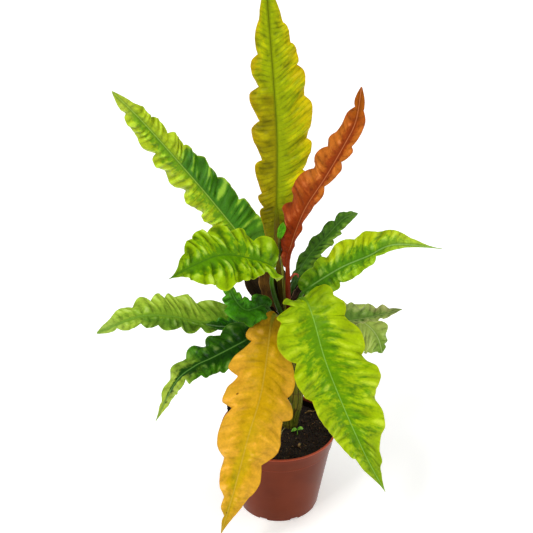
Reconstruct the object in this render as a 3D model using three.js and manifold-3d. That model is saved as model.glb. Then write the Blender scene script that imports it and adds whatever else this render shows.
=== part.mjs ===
import * as THREE from 'three';
import { mergeVertices } from 'three/addons/utils/BufferGeometryUtils.js';
import Module from 'manifold-3d';

// A potted ring of fire philodendron: a short ridged cane in a round plastic pot of
// soil, with fourteen long, lobed and waved leaves on stalks from its crown.
// Millimetres, +Z up. The origin is the middle of the pot's underside, the side of
// the plant that is looked at faces -Y.

const wasm = await Module();
wasm.setup();

// room left between two pieces that touch
const gap = 0.3;

// pot
const potHeight = 131;
const rimRadius = 85;
const baseRadius = 59.5;
const wall = 1.8;
const collarHeight = 25;
const collarStep = 1.4;
const floorThickness = 2;
const footHeight = 3;
const footWidth = 4;
const footSlots = 8;
const slotWidth = 12;
const slotHeight = 2.4;
const padRadius = 16;
const lipWidth = 3.4;
const lipOverhang = 1.5;
const roundSides = 44;

// soil, and a seedling in it: a thin stalk with two leaves of the given half length, half width and
// half thickness
const soilTop = 118;
const soilMound = 2.5;
const soilWaves = [0.8, 0.5];
const moundStations = [0.88, 0.7, 0.5, 0.3, 0.12];
const sproutPlace = [27, -7, 119];
const sproutHeight = 8;
const sproutDepth = 6;
const sproutStalk = 0.8;
const sproutRoom = 1.6;
const sproutLeaf = [4.8, 2.6, 0.6];
const sproutLift = 0.35;

// cane
const caneRadius = 10.2;
const caneTopRadius = 8;
const caneSides = 16;
const caneSteps = 30;
const scarCount = 9;
const scarRise = 0.7;
const canePath = [[14, 14, 62], [17, 14, 118], [25, 11, 172], [24, 9, 222], [15, 6, 276], [9, 4, 318]];

// leaf section, from the rib out to the edge
const acrossLeaf = [0, 0.34, 0.68, 1];
const acrossSheath = [0, 1];
const ribHalfWidth = [2.4, 0.7];
const ribDepth = [3.4, 1];
const ribRise = 0.5;
const bladeThickness = [1.1, 0.9];
const leafStalk = [3.4, 2.4];
const sheathStalk = [2, 1.6];
const stalkStations = 7;

// Lobes of the edge: each rises from its notch to a tooth at toothPlace and drops to the next
// notch. A tooth leans to the tip by toothHook, an edge is waved by leafRuffle once a lobe, and
// the side veins run on towards the tip by edgeSweep.
const toothPlace = 0.7;
const toothHook = 0.3;
const leafRuffle = 0.14;
const edgeSweep = 0.32;
const edgeMargin = 0.8;
const alongLobe = [0, 0.36, 0.7];

// Each leaf: path runs through its stalk and rib, joint is the point where the blade
// starts, face turns from base to tip towards where the upper side looks. Pairs are
// the left and the right half seen with the tip up; notches are the places of the
// cuts along the edge, from 0 at the joint to 1 at the tip, and cuts their depths as
// shares of the half width.
const leaves = {
  leaf_top: {
    path: [[7, 7, 312], [-1, 16, 381], [-4, 30, 444], [-4, 48, 551], [-8, 62, 619], [-13, 78, 680],
      [-20, 100, 765]],
    joint: 2, face: [[-0.1, -1, 0.2], [-0.1, -1, 0.2], [0.1, -1, 0.3]],
    width: [34, 49], widest: [0.46, 0.36], base: [0.5, 0.4], tip: 1.29,
    fold: 9, bend: [20, 23], sweep: -0.29,
    notches: [[0.06, 0.12, 0.23, 0.36, 0.51, 0.66, 0.88], [0.1, 0.19, 0.29, 0.47, 0.62, 0.77, 0.87]],
    cuts: [[0.34, 0.24, 0.25, 0.32, 0.33, 0.26, 0.04], [0.12, 0.12, 0.21, 0.19, 0.16, 0.15, 0.15]],
    color: '#aab414',
  },
  leaf_orange: {
    path: [[12, 1, 312], [11, -8, 375], [12, -14, 417], [30, -26, 483], [57, -34, 535], [78, -36, 577],
      [92, -30, 607], [98, -22, 648]],
    joint: 2, face: [[-0.8, -0.6, 0], [-0.6, -0.8, 0.2], [0, -1, 0.2]],
    width: [29, 16], widest: [0.29, 0.65], base: [0.28, 0.36], tip: 0.89,
    fold: 21, bend: [11, 3], sweep: -0.25,
    notches: [[0.14, 0.25, 0.47, 0.62, 0.7, 0.86], [0.21, 0.35, 0.42, 0.59, 0.68, 0.93]],
    cuts: [[0.4, 0.23, 0.12, 0.23, 0.03, 0.39], [0.44, 0.41, 0.55, 0.47, 0.3, 0.3]],
    color: '#c06428',
  },
  leaf_upper_left: {
    path: [[9, 7, 305], [-16, 30, 347], [-38, 44, 392], [-88, 62, 455], [-137, 56, 522],
      [-183, 42, 586], [-214, 22, 629]],
    joint: 2, face: [[-0.1, -1, 0.2], [-0.1, -1, -0.3], [0.2, -0.9, -0.3]],
    width: [35, 42], widest: [0.44, 0.16], base: [0.53, 0.78], tip: 0.89,
    fold: 10, bend: [39, 6], sweep: -0.18,
    notches: [[0.1, 0.18, 0.24, 0.36, 0.49, 0.59, 0.73, 0.85],
      [0.11, 0.19, 0.34, 0.49, 0.57, 0.66, 0.77, 0.85]],
    cuts: [[0.11, 0.11, 0.16, 0.23, 0.03, 0.31, 0.03, 0.33],
      [0.09, 0.25, 0.26, 0.18, 0.28, 0.42, 0.35, 0.07]],
    color: '#86b61c',
  },
  leaf_mid_left: {
    path: [[9, 3, 301], [-4, -13, 342], [-11, -30, 380], [-13, -48, 416], [-44, -70, 439],
      [-75, -92, 453], [-103, -116, 453], [-135, -146, 448]],
    joint: 3, face: [[0.9, -0.1, 0.4], [0.5, -0.4, 0.7], [0.4, -0.5, 0.7]],
    width: [60, 36], widest: [0.53, 0.6], base: [0.27, 0.87], tip: 1.88,
    fold: 25, bend: [1, 3], sweep: -0.65,
    notches: [[0.13, 0.27, 0.35, 0.65, 0.81], [0.16, 0.35, 0.53, 0.63, 0.75]],
    cuts: [[0.38, 0.19, 0.12, 0.2, 0.2], [0.26, 0.1, 0.17, 0.12, 0.23]],
    color: '#8fc41a',
  },
  leaf_low_left: {
    path: [[12, 7, 289], [-19, 14, 313], [-50, 12, 304], [-105, -4, 307], [-148, -22, 326],
      [-189, -40, 336], [-244, -62, 323]],
    joint: 2, face: [[0.1, -0.7, 0.7], [0.5, -0.5, 0.7], [0, -0.5, 0.9]],
    width: [24, 34], widest: [0.45, 0.26], base: [0.12, 0.12], tip: 0.8,
    fold: 16, bend: [14, 9], sweep: -0.09, tooth: 0.55,
    notches: [[0.13, 0.24, 0.39, 0.55, 0.64, 0.87], [0.14, 0.23, 0.46, 0.5, 0.71, 0.8]],
    cuts: [[0.5, 0.41, 0.42, 0.41, 0.37, 0.58], [0.03, 0.12, 0.16, 0.34, 0.31, 0.03]],
    color: '#93bd3a',
  },
  leaf_bottom_left: {
    path: [[14, 5, 274], [-16, -20, 310], [-41, -34, 299], [-88, -56, 283], [-115, -70, 276],
      [-140, -80, 257], [-169, -86, 199]],
    joint: 2, face: [[-0.1, -0.5, 0.9], [-0.3, -0.3, 0.9], [-0.7, -0.6, 0.4]],
    width: [29, 32], widest: [0.17, 0.16], base: [0.62, 0.9], tip: 1.27,
    fold: 13, bend: [14, 19], sweep: -0.27,
    notches: [[0.18, 0.24, 0.41, 0.51, 0.65, 0.84], [0.14, 0.26, 0.4, 0.55, 0.74, 0.88]],
    cuts: [[0.03, 0.25, 0.42, 0.44, 0.11, 0.12], [0.14, 0.1, 0.12, 0.07, 0.09, 0.1]],
    color: '#4c8a20',
  },
  leaf_yellow: {
    path: [[15, 3, 280], [9, -24, 313], [-3, -47, 339], [-11, -64, 342], [-24, -118, 272],
      [-42, -142, 213], [-61, -156, 137], [-80, -160, 65]],
    joint: 3, face: [[0, -0.7, 0.7], [0.1, -1, 0.2], [-0.3, -0.9, 0.1]],
    width: [50, 52], widest: [0.35, 0.2], base: [0.21, 0.17], tip: 1.28,
    fold: 3, bend: [29, 30], sweep: -0.36,
    notches: [[0.07, 0.14, 0.24, 0.32, 0.6, 0.81], [0.09, 0.17, 0.33, 0.49, 0.57, 0.78]],
    cuts: [[0.56, 0.1, 0.28, 0.36, 0.24, 0.03], [0.39, 0.25, 0.3, 0.14, 0.22, 0.16]],
    color: '#d8a024',
  },
  leaf_front_right: {
    path: [[14, 5, 292], [22, -32, 352], [33, -53, 369], [43, -76, 354], [64, -112, 311],
      [90, -134, 244], [117, -142, 178], [142, -142, 123]],
    joint: 2, face: [[-0.3, 0, 1], [0.4, -0.8, 0.4], [0.5, -0.9, 0.2]],
    width: [58, 64], widest: [0.32, 0.17], base: [0.42, 0.34], tip: 1.44,
    fold: 20, bend: [27, 1], sweep: -0.45,
    notches: [[0.06, 0.13, 0.28, 0.48, 0.61, 0.73], [0.1, 0.19, 0.33, 0.5, 0.67, 0.8]],
    cuts: [[0.42, 0.22, 0.2, 0.14, 0.11, 0.03], [0.17, 0.3, 0.09, 0.03, 0.11, 0.1]],
    color: '#8fc818',
  },
  leaf_upper_right: {
    path: [[14, 4, 296], [27, 0, 340], [37, -8, 361], [80, -22, 400], [114, -34, 423], [148, -44, 445],
      [206, -60, 447]],
    joint: 2, face: [[-0.5, -0.9, 0.1], [-0.6, -0.6, 0.5], [-0.2, -0.7, 0.7]],
    width: [32, 24], widest: [0.44, 0.15], base: [0.45, 0.61], tip: 2.03,
    fold: 16, bend: [11, 14], sweep: -0.28,
    notches: [[0.11, 0.2, 0.4, 0.59, 0.79], [0.09, 0.21, 0.38, 0.54, 0.79]],
    cuts: [[0.15, 0.19, 0.11, 0.08, 0.1], [0.03, 0.31, 0.03, 0.6, 0.03]],
    color: '#6faa1e',
  },
  leaf_narrow_right: {
    path: [[12, 7, 296], [15, 26, 330], [22, 40, 348], [40, 60, 375], [67, 84, 396], [93, 104, 416],
      [115, 128, 414]],
    joint: 2, face: [[-0.6, -0.5, 0.7], [-0.3, -0.4, 0.9], [0.5, -0.4, 0.8]],
    width: [15, 20], widest: [0.49, 0.26], base: [0.42, 0.6], tip: 0.81,
    fold: 12, bend: [13, 21], sweep: -0.23,
    notches: [[0.1, 0.29, 0.49, 0.68, 0.85], [0.13, 0.3, 0.51, 0.63, 0.86]],
    cuts: [[0.19, 0.09, 0.09, 0.46, 0.09], [0.08, 0.31, 0.39, 0.35, 0.08]],
    color: '#2f6b1e',
  },
  leaf_back_right: {
    path: [[15, 7, 282], [32, 28, 305], [68, 44, 286], [96, 50, 278], [121, 54, 279], [147, 56, 284],
      [179, 58, 293]],
    joint: 2, face: [[0.4, -0.2, 0.9], [-0.1, -0.1, 1], [-0.2, -0.4, 0.9]],
    width: [33, 17], widest: [0.2, 0.46], base: [0.52, 0.5], tip: 1.15,
    fold: 17, bend: [17, 4], sweep: -0.25,
    notches: [[0.19, 0.42, 0.64, 0.82], [0.28, 0.42, 0.6, 0.72]],
    cuts: [[0.03, 0.2, 0.11, 0.17], [0.13, 0.13, 0.06, 0.16]],
    color: '#7f9c4c',
  },
  leaf_back_right_low: {
    path: [[17, 8, 266], [39, 46, 292], [75, 70, 282], [109, 86, 264], [135, 94, 244], [151, 97, 221],
      [159, 98, 194]],
    joint: 2, face: [[0.4, -0.1, 0.9], [0.6, -0.5, 0.6], [0.5, -0.8, 0.1]],
    width: [33, 46], widest: [0.46, 0.37], base: [0.6, 0.67], tip: 0.82,
    fold: 8, bend: [19, 27], sweep: -0.25,
    notches: [[0.26, 0.59, 0.82, 0.9], [0.24, 0.48, 0.72, 0.95]],
    cuts: [[0.12, 0.48, 0.03, 0.33], [0.13, 0.13, 0.12, 0.27]],
    color: '#a5c47c',
  },
  leaf_dark_left: {
    path: [[9, 3, 293], [-11, -31, 336], [-21, -40, 353], [-35, -49, 353], [-46, -53, 354],
      [-57, -46, 361], [-66, -34, 374], [-77, -22, 399]],
    joint: 2, face: [[0.2, -0.6, 0.8], [-0.1, -0.8, 0.6], [-0.1, -0.9, 0.4]],
    width: [17, 17], widest: [0.25, 0.15], base: [0.8, 0.9], tip: 1.9,
    fold: 16, bend: [22, 10], sweep: -0.2,
    notches: [[0.2, 0.44, 0.72], [0.22, 0.42, 0.7]],
    cuts: [[0.15, 0.5, 0.2], [0.35, 0.3, 0.2]],
    color: '#2c6e14',
  },
  leaf_dark_low: {
    path: [[12, 6, 282], [-10, 0, 301], [-30, -4, 302], [-48, -7, 303], [-65, -8, 302],
      [-84, -14, 306], [-101, -19, 312]],
    joint: 2, face: [[0, -0.6, 0.8], [0, -0.6, 0.8], [-0.1, -0.6, 0.8]],
    width: [9, 17], widest: [0.3, 0.35], base: [0.7, 0.8], tip: 0.9,
    fold: 12, bend: [12, 22], sweep: -0.1,
    notches: [[0.3, 0.55, 0.8], [0.25, 0.5, 0.74]],
    cuts: [[0.2, 0.25, 0.2], [0.25, 0.35, 0.3]],
    color: '#265c12',
  },
};

// Dried brown sheaths left round the crown: narrow torn straps.
const sheath = {
  joint: 1, widest: [0.3, 0.3], base: [0.6, 0.6], tip: 1.2, fold: 28, bend: [30, 30], sweep: 0,
  notches: [[0.35, 0.7], [0.35, 0.7]], cuts: [[0.15, 0.2], [0.2, 0.12]],
};
const sheaths = {
  sheath_left: {
    ...sheath, path: [[9, 4, 303], [-9, 3, 331], [-20, 8, 357], [-27, 13, 385]], width: [8, 7],
    face: [[-0.3, -0.9, 0.3], [-0.3, -0.9, 0.3]], color: '#7a5120',
  },
  sheath_dark: {
    ...sheath, path: [[12, 8, 294], [-8, 9, 319], [-26, 18, 338], [-44, 26, 362], [-56, 30, 380]],
    width: [12, 13], face: [[0, -1, 0.3], [0.2, -1, 0.3]], color: '#2c2012',
  },
  sheath_right: {
    ...sheath, path: [[12, 6, 304], [20, 13, 328], [31, 19, 346], [39, 22, 364]], width: [10, 10],
    face: [[0.2, -1, 0.2], [0.2, -1, 0.2]], color: '#4a3320',
  },
};

const mix = (a, b, x) => a + (b - a) * x;
const clamp = (x, low, high) => Math.min(high, Math.max(low, x));
const vector = (list) => new THREE.Vector3(...list);

// a closed solid from corner points and triangles
function solidOf(corners, triangles) {
  const mesh = new wasm.Mesh({
    numProp: 3,
    vertProperties: new Float32Array(corners.flatMap((p) => [p.x, p.y, p.z])),
    triVerts: new Uint32Array(triangles.flat()),
  });
  return new wasm.Manifold(mesh);
}

// a three.js shape as a solid, its split seams joined again
function solidFrom(geometry) {
  const bare = new THREE.BufferGeometry();
  bare.setAttribute('position', geometry.getAttribute('position'));
  bare.setIndex(geometry.index);
  const joined = mergeVertices(bare, 1e-3);
  const place = joined.getAttribute('position');
  const cornerAt = (_, i) => new THREE.Vector3().fromBufferAttribute(place, i);
  const corners = Array.from({ length: place.count }, cornerAt);
  const flat = Array.from(joined.index.array);
  const triangles = [];
  for (let i = 0; i < flat.length; i += 3) {
    const [a, b, c] = flat.slice(i, i + 3);
    if (a !== b && b !== c && c !== a) triangles.push([a, b, c]);
  }
  return solidOf(corners, triangles);
}

// the largest piece of a solid as a three.js shape
function geometryOf(solid) {
  const pieces = solid.decompose();
  pieces.sort((a, b) => b.volume() - a.volume());
  const mesh = pieces[0].getMesh();
  const place = [];
  for (let i = 0; i < mesh.numVert; i += 1) {
    place.push(...mesh.vertProperties.slice(i * mesh.numProp, i * mesh.numProp + 3));
  }
  const geometry = new THREE.BufferGeometry();
  geometry.setAttribute('position', new THREE.Float32BufferAttribute(place, 3));
  geometry.setIndex(Array.from(mesh.triVerts));
  return geometry;
}

// turned about the upright axis
function turned(profile) {
  const points = profile.map(([r, z]) => new THREE.Vector2(r, z));
  return solidFrom(new THREE.LatheGeometry(points, roundSides).rotateX(Math.PI / 2));
}

// a round bar of even thickness along a curve
function bar(curve, radius, sides, steps) {
  const round = [];
  for (let k = 0; k < sides; k += 1) {
    const turn = (2 * Math.PI * k) / sides;
    round.push(new THREE.Vector2(radius * Math.cos(turn), radius * Math.sin(turn)));
  }
  const sweep = { steps, extrudePath: curve, bevelEnabled: false };
  return solidFrom(new THREE.ExtrudeGeometry(new THREE.Shape(round), sweep));
}

// The rib of a leaf as a curve measured by length: at(t) gives the point, frame(t) the
// direction to the tip, the sideways and the upward direction; t is 0 at the joint and
// 1 at the tip, below 0 on the stalk.
function ribOf(leaf) {
  const points = leaf.path.map(vector);
  const curve = new THREE.CatmullRomCurve3(points, false, 'catmullrom', 0.5);
  curve.arcLengthDivisions = 40 * (points.length - 1);
  const lengths = curve.getLengths();
  const whole = lengths[lengths.length - 1];
  const stalk = lengths[40 * leaf.joint];
  const blade = whole - stalk;
  const at = (t) => curve.getPointAt(clamp((stalk + t * blade) / whole, 0, 1));
  const frame = (t) => {
    const along = at(t + 0.01).sub(at(t - 0.01)).normalize();
    const x = clamp(t, 0, 1) * (leaf.face.length - 1);
    const k = Math.min(Math.floor(x), leaf.face.length - 2);
    const facing = vector(leaf.face[k]).lerp(vector(leaf.face[k + 1]), x - k);
    const side = along.clone().cross(facing).normalize();
    return { along, side, up: side.clone().cross(along) };
  };
  return { at, frame, start: -stalk / blade, blade };
}

// where an edge place lies in its lobe, how near it is to the tooth, how deep the cuts beside
// it are and how long the lobe is
function lobeAt(leaf, half, t) {
  const marks = [0, ...leaf.notches[half], 1];
  const depths = [0, ...leaf.cuts[half], 0];
  let k = 0;
  while (k < marks.length - 2 && t >= marks[k + 1]) k += 1;
  const length = marks[k + 1] - marks[k];
  const x = clamp((t - marks[k]) / length, 0, 1);
  const top = leaf.tooth ?? toothPlace;
  const tooth = x < top
    ? Math.sin((Math.PI / 2) * (x / top))
    : Math.cos((Math.PI / 2) * ((x - top) / (1 - top)));
  return { phase: k + x, tooth, depth: mix(depths[k], depths[k + 1], x), length };
}

// half width of the blade without its cuts, as a share of the widest
function outline(leaf, half, t) {
  const widest = leaf.widest[half];
  if (t < widest) return mix(leaf.base[half], 1, Math.sin((Math.PI / 2) * (t / widest)) ** 0.8);
  return (1 - ((t - widest) / (1 - widest)) ** 1.7) ** leaf.tip;
}

// A point of one half (0 left, 1 right): from the rib point at ribT out to the edge point
// at edgeT, across from 0 at the rib to 1 at the edge. The half folds up, bends over and
// is waved once a lobe at its edge.
function bladePoint(leaf, rib, half, ribT, edgeT, across) {
  const sign = half === 0 ? -1 : 1;
  const t = mix(ribT, edgeT, across);
  const { along, side, up } = rib.frame(t);
  const lobe = lobeAt(leaf, half, edgeT);
  const share = outline(leaf, half, edgeT);
  const width = leaf.width[half] * share;
  const reach = width * (1 - lobe.depth * (1 - lobe.tooth)) + edgeMargin;
  const fold = (leaf.fold * Math.PI) / 180;
  const bend = (leaf.bend[half] * Math.PI) / 180 + 1e-4;
  const out = (reach * (Math.sin(fold) - Math.sin(fold - bend * across))) / bend;
  const size = Math.min(reach, lobe.length * rib.blade);
  const ripple = -Math.cos(2 * Math.PI * lobe.phase);
  const wave = leafRuffle * size * across ** 2 * Math.min(1, 3 * share) * ripple;
  const lift = (reach * (Math.cos(fold - bend * across) - Math.cos(fold))) / bend + wave;
  const ease = Math.sin((Math.PI / 2) * Math.min(1, 4 * edgeT));
  const sweep = width * mix(leaf.sweep, edgeSweep, ease) * across ** 1.6;
  const hook = toothHook * width * lobe.depth * lobe.tooth * across ** 2;
  return rib.at(t)
    .addScaledVector(side, sign * out)
    .addScaledVector(up, lift)
    .addScaledVector(along, (sweep + hook) * Math.min(1, 6 * (1 - edgeT)));
}

// Upper and lower points of one row across the blade, left edge to right edge.
function bladeRow(leaf, rib, leftT, rightT, acrossBlade) {
  const ribT = (leftT + rightT) / 2;
  const upper = [];
  const lower = [];
  const { up } = rib.frame(ribT);
  [0, 1].forEach((half) => {
    const edgeT = half === 0 ? leftT : rightT;
    const edge = bladePoint(leaf, rib, half, ribT, edgeT, 1);
    const halfWidth = edge.distanceTo(rib.at(ribT));
    const first = clamp(mix(ribHalfWidth[0], ribHalfWidth[1], ribT) / halfWidth, 0.02, 0.4);
    const columns = acrossBlade.map((share) => {
      const across = mix(first, 1, share);
      const point = bladePoint(leaf, rib, half, ribT, edgeT, across);
      const near = bladePoint(leaf, rib, half, ribT, edgeT, across - 0.02);
      const nextRib = Math.min(ribT + 0.004, 1);
      const nextEdge = Math.min(edgeT + 0.004, 1);
      const ahead = bladePoint(leaf, rib, half, nextRib, nextEdge, across);
      const outward = point.clone().sub(near);
      const onward = ahead.clone().sub(point);
      const normal = half === 0 ? onward.cross(outward) : outward.cross(onward);
      normal.normalize().add(up).normalize();
      const onRib = share === 0;
      const thin = mix(bladeThickness[0], bladeThickness[1], across) / 2;
      const rise = onRib ? ribRise : 0;
      const drop = onRib ? mix(ribDepth[0], ribDepth[1], ribT) : 0;
      return [
        point.clone().addScaledVector(normal, thin + rise),
        point.clone().addScaledVector(normal, -thin - drop),
      ];
    });
    if (half === 0) columns.reverse();
    columns.forEach(([above, below]) => {
      upper.push(above);
      lower.push(below);
    });
  });
  return { upper, lower };
}

// Upper and lower points of one ring round the stalk, in the same order.
function stalkRow(rib, t, columns, stalk) {
  const { side, up } = rib.frame(t);
  const centre = rib.at(t);
  const radius = mix(stalk[1], stalk[0], clamp(t / rib.start, 0, 1));
  const upper = [];
  const lower = [];
  for (let k = 0; k < columns; k += 1) {
    const turn = Math.PI * (1 - (k + 0.5) / columns);
    const sideways = centre.clone().addScaledVector(side, radius * Math.cos(turn));
    upper.push(sideways.clone().addScaledVector(up, radius * Math.sin(turn)));
    lower.push(sideways.clone().addScaledVector(up, -radius * Math.sin(turn)));
  }
  return { upper, lower };
}

// Stalk and blade in one closed skin, split alike on the upper and the lower side.
function leafSolid(leaf, acrossBlade, stalk) {
  const rib = ribOf(leaf);
  const columns = 2 * acrossBlade.length;
  const rows = [];
  for (let i = 0; i < stalkStations; i += 1) {
    rows.push(stalkRow(rib, rib.start * (1 - i / stalkStations), columns, stalk));
  }
  const left = [0, ...leaf.notches[0], 1];
  const right = [0, ...leaf.notches[1], 1];
  for (let k = 0; k < left.length - 1; k += 1) {
    alongLobe.forEach((x) => {
      const leftT = mix(left[k], left[k + 1], x);
      const rightT = mix(right[k], right[k + 1], x);
      rows.push(bladeRow(leaf, rib, leftT, rightT, acrossBlade));
    });
  }
  rows.push(bladeRow(leaf, rib, 1, 1, acrossBlade));

  const corners = rows.flatMap(({ upper, lower }) => [...upper, ...lower]);
  const triangles = [];
  const above = (i, k) => i * 2 * columns + k;
  const below = (i, k) => above(i, k) + columns;
  for (let i = 0; i < rows.length - 1; i += 1) {
    for (let k = 0; k < columns - 1; k += 1) {
      triangles.push(
        [above(i, k), above(i, k + 1), above(i + 1, k + 1)],
        [above(i, k), above(i + 1, k + 1), above(i + 1, k)],
        [below(i, k), below(i + 1, k + 1), below(i, k + 1)],
        [below(i, k), below(i + 1, k), below(i + 1, k + 1)],
      );
    }
    [[0, 1], [columns - 1, 0]].forEach(([k, flip]) => {
      const loop = [above(i, k), above(i + 1, k), below(i + 1, k), below(i, k)];
      if (!flip) loop.reverse();
      triangles.push([loop[0], loop[1], loop[2]], [loop[0], loop[2], loop[3]]);
    });
  }
  [0, rows.length - 1].forEach((i) => {
    for (let k = 0; k < columns - 1; k += 1) {
      const loop = [above(i, k), below(i, k), below(i, k + 1), above(i, k + 1)];
      if (i > 0) loop.reverse();
      triangles.push([loop[0], loop[1], loop[2]], [loop[0], loop[2], loop[3]]);
    }
  });
  return solidOf(corners, triangles);
}

// outer radius of the pot's body below the collar
const bodyRadius = (z) => mix(baseRadius, rimRadius - collarStep - lipOverhang, z / potHeight);
const collarFoot = potHeight - collarHeight;
const collarRadius = bodyRadius(collarFoot) + collarStep;
const potFloor = footHeight + floorThickness;

function potSolid() {
  const innerFoot = baseRadius - footWidth;
  const innerFloor = bodyRadius(footHeight * 2) - wall;
  const shell = turned([
    [0, footHeight], [innerFoot, footHeight], [innerFoot, 0], [baseRadius - 0.6, 0], [baseRadius, 0.8],
    [bodyRadius(collarFoot - 1), collarFoot - 1], [collarRadius, collarFoot + 0.4],
    [rimRadius - 1.6, potHeight - 3.2], [rimRadius - 0.4, potHeight - 2.6], [rimRadius, potHeight - 1.4],
    [rimRadius - 0.4, potHeight - 0.4], [rimRadius - 1.4, potHeight], [rimRadius - 2.6, potHeight - 0.5],
    [rimRadius - lipWidth, potHeight - 3], [collarRadius - wall, collarFoot + 1],
    [bodyRadius(collarFoot - 1) - wall, collarFoot - 2],
    [innerFloor, potFloor + 1.2], [innerFloor - 1.2, potFloor], [0, potFloor],
  ]);
  const pad = turned([
    [0, 0], [padRadius - 0.5, 0], [padRadius, 0.5], [padRadius, footHeight + 0.5], [0, footHeight + 0.5],
  ]);
  let pot = shell.add(pad);
  for (let k = 0; k < footSlots; k += 1) {
    const slot = new THREE.BoxGeometry(2 * footWidth, slotWidth, 2 * slotHeight);
    slot.translate(baseRadius - footWidth / 2 + 0.5, 0, 0);
    slot.rotateZ((2 * Math.PI * (k + 0.5)) / footSlots);
    pot = pot.subtract(solidFrom(slot));
  }
  return pot;
}

// Potting soil, a clear gap inside the pot, with a low uneven mound and plain holes for what
// stands in it.
function soilSolid(holes) {
  const collarShare = (z) => (z - collarFoot - 1) / (collarHeight - 4);
  const innerAt = (z) => (z > collarFoot + 1
    ? mix(collarRadius - wall, rimRadius - lipWidth, collarShare(z))
    : bodyRadius(z) - wall) - gap;
  const bottom = potFloor + gap;
  const profile = [
    [0, bottom], [baseRadius - wall - 1.6, bottom], [innerAt(bottom + 3) - 0.3, bottom + 3],
    [innerAt(collarFoot - 3) - 0.2, collarFoot - 3], [innerAt(collarFoot + 2) - 0.8, collarFoot + 2],
    [innerAt(soilTop - 2), soilTop - 2],
  ];
  moundStations.forEach((share) => {
    profile.push([share * innerAt(soilTop), soilTop + soilMound * (1 - share ** 2)]);
  });
  profile.push([0, soilTop + soilMound]);
  const bed = turned(profile).warp((p) => {
    if (p[2] < soilTop - 1) return;
    p[2] += soilWaves[0] * Math.sin(0.21 * p[0] + 1) * Math.cos(0.17 * p[1]);
    p[2] += soilWaves[1] * Math.sin(0.33 * p[1] - 0.12 * p[0]);
  });
  return bed.subtract(holes);
}

// The cane: a bar along its bend, narrowed towards the crown and ringed by old leaf scars,
// grown by a margin where room for it is cut.
function caneSolid(grow) {
  const path = canePath.map(vector);
  path[0].z -= grow;
  path[path.length - 1].z += grow;
  const curve = new THREE.CatmullRomCurve3(path, false, 'catmullrom', 0.5);
  const marks = curve.getSpacedPoints(80);
  const centreAt = (z) => {
    let k = 0;
    while (k < marks.length - 2 && marks[k + 1].z < z) k += 1;
    const share = (z - marks[k].z) / (marks[k + 1].z - marks[k].z);
    return marks[k].clone().lerp(marks[k + 1], clamp(share, 0, 1));
  };
  const low = canePath[0][2];
  const high = canePath[canePath.length - 1][2];
  return bar(curve, 1, caneSides, caneSteps).warp((p) => {
    const share = clamp((p[2] - low) / (high - low), 0, 1);
    const scar = scarRise * Math.max(0, Math.cos(2 * Math.PI * scarCount * share)) ** 3;
    const radius = mix(caneRadius, caneTopRadius, share) + scar + grow;
    const centre = centreAt(p[2]);
    p[0] = mix(centre.x, p[0], radius);
    p[1] = mix(centre.y, p[1], radius);
  });
}

// a seedling: a thin stalk with two small leaves
function sproutSolid([x, y, z]) {
  const stalk = [[x, y, z - sproutDepth], [x + 0.4, y, z + 2], [x, y + 0.5, z + sproutHeight]];
  const curve = new THREE.CatmullRomCurve3(stalk.map(vector));
  return [-1, 1].reduce((sprout, sign) => {
    const blade = new THREE.SphereGeometry(1, 8, 5);
    blade.scale(...sproutLeaf);
    blade.rotateY(-sign * sproutLift);
    blade.translate(x + sign * 4, y + 0.3 * sign, z + sproutHeight + 1);
    return sprout.add(solidFrom(blade));
  }, bar(curve, sproutStalk, 6, 3));
}

const group = new THREE.Group();

function place(name, solid, color, roughness) {
  const material = new THREE.MeshStandardMaterial({ color, roughness, metalness: 0 });
  const mesh = new THREE.Mesh(geometryOf(solid), material);
  mesh.name = name;
  group.add(mesh);
}

const caneRoom = caneSolid(gap);
const [sproutX, sproutY] = sproutPlace;
const sproutAxis = new THREE.LineCurve3(
  vector([sproutX, sproutY, soilTop - sproutDepth - 2]),
  vector([sproutX, sproutY, soilTop + sproutHeight]),
);
const sproutHole = bar(sproutAxis, sproutRoom, 12, 1);

place('pot', potSolid(), '#7a3a28', 0.6);
place('soil', soilSolid(caneRoom.add(sproutHole)), '#2a1d16', 1);
place('cane', caneSolid(0), '#6f6a35', 0.85);
place('sprout', sproutSolid(sproutPlace), '#7fae3a', 0.5);
Object.entries(leaves).forEach(([name, leaf]) => {
  place(name, leafSolid(leaf, acrossLeaf, leafStalk).subtract(caneRoom), leaf.color, 0.42);
});
Object.entries(sheaths).forEach(([name, strap]) => {
  place(name, leafSolid(strap, acrossSheath, sheathStalk).subtract(caneRoom), strap.color, 0.85);
});

export default group;
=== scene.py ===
import math
import bpy
import numpy as np
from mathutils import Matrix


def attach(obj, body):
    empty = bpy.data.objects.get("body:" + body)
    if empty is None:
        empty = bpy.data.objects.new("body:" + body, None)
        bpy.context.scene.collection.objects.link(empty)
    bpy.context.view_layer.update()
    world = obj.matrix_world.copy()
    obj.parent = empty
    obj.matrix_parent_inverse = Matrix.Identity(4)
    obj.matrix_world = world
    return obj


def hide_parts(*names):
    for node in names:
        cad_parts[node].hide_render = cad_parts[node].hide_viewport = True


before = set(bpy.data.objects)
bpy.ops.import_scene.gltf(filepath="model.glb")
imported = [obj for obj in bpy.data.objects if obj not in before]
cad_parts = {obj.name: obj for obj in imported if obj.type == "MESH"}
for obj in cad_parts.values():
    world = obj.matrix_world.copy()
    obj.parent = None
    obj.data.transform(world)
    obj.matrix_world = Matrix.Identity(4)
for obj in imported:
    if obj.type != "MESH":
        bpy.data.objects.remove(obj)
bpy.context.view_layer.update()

# a potted ring of fire philodendron; lengths are in millimetres until a mesh is made
millimetre = 0.001


# numbers

def blend(a, b, x):
    # a + (b - a) x
    return a + (b - a) * x


def smoothStep(x, low, high):
    # 0 below low, 1 above high, 3x^2 - 2x^3 between
    x = np.clip((x - low) / (high - low), 0, 1)
    return x * x * (3 - 2 * x)


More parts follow.
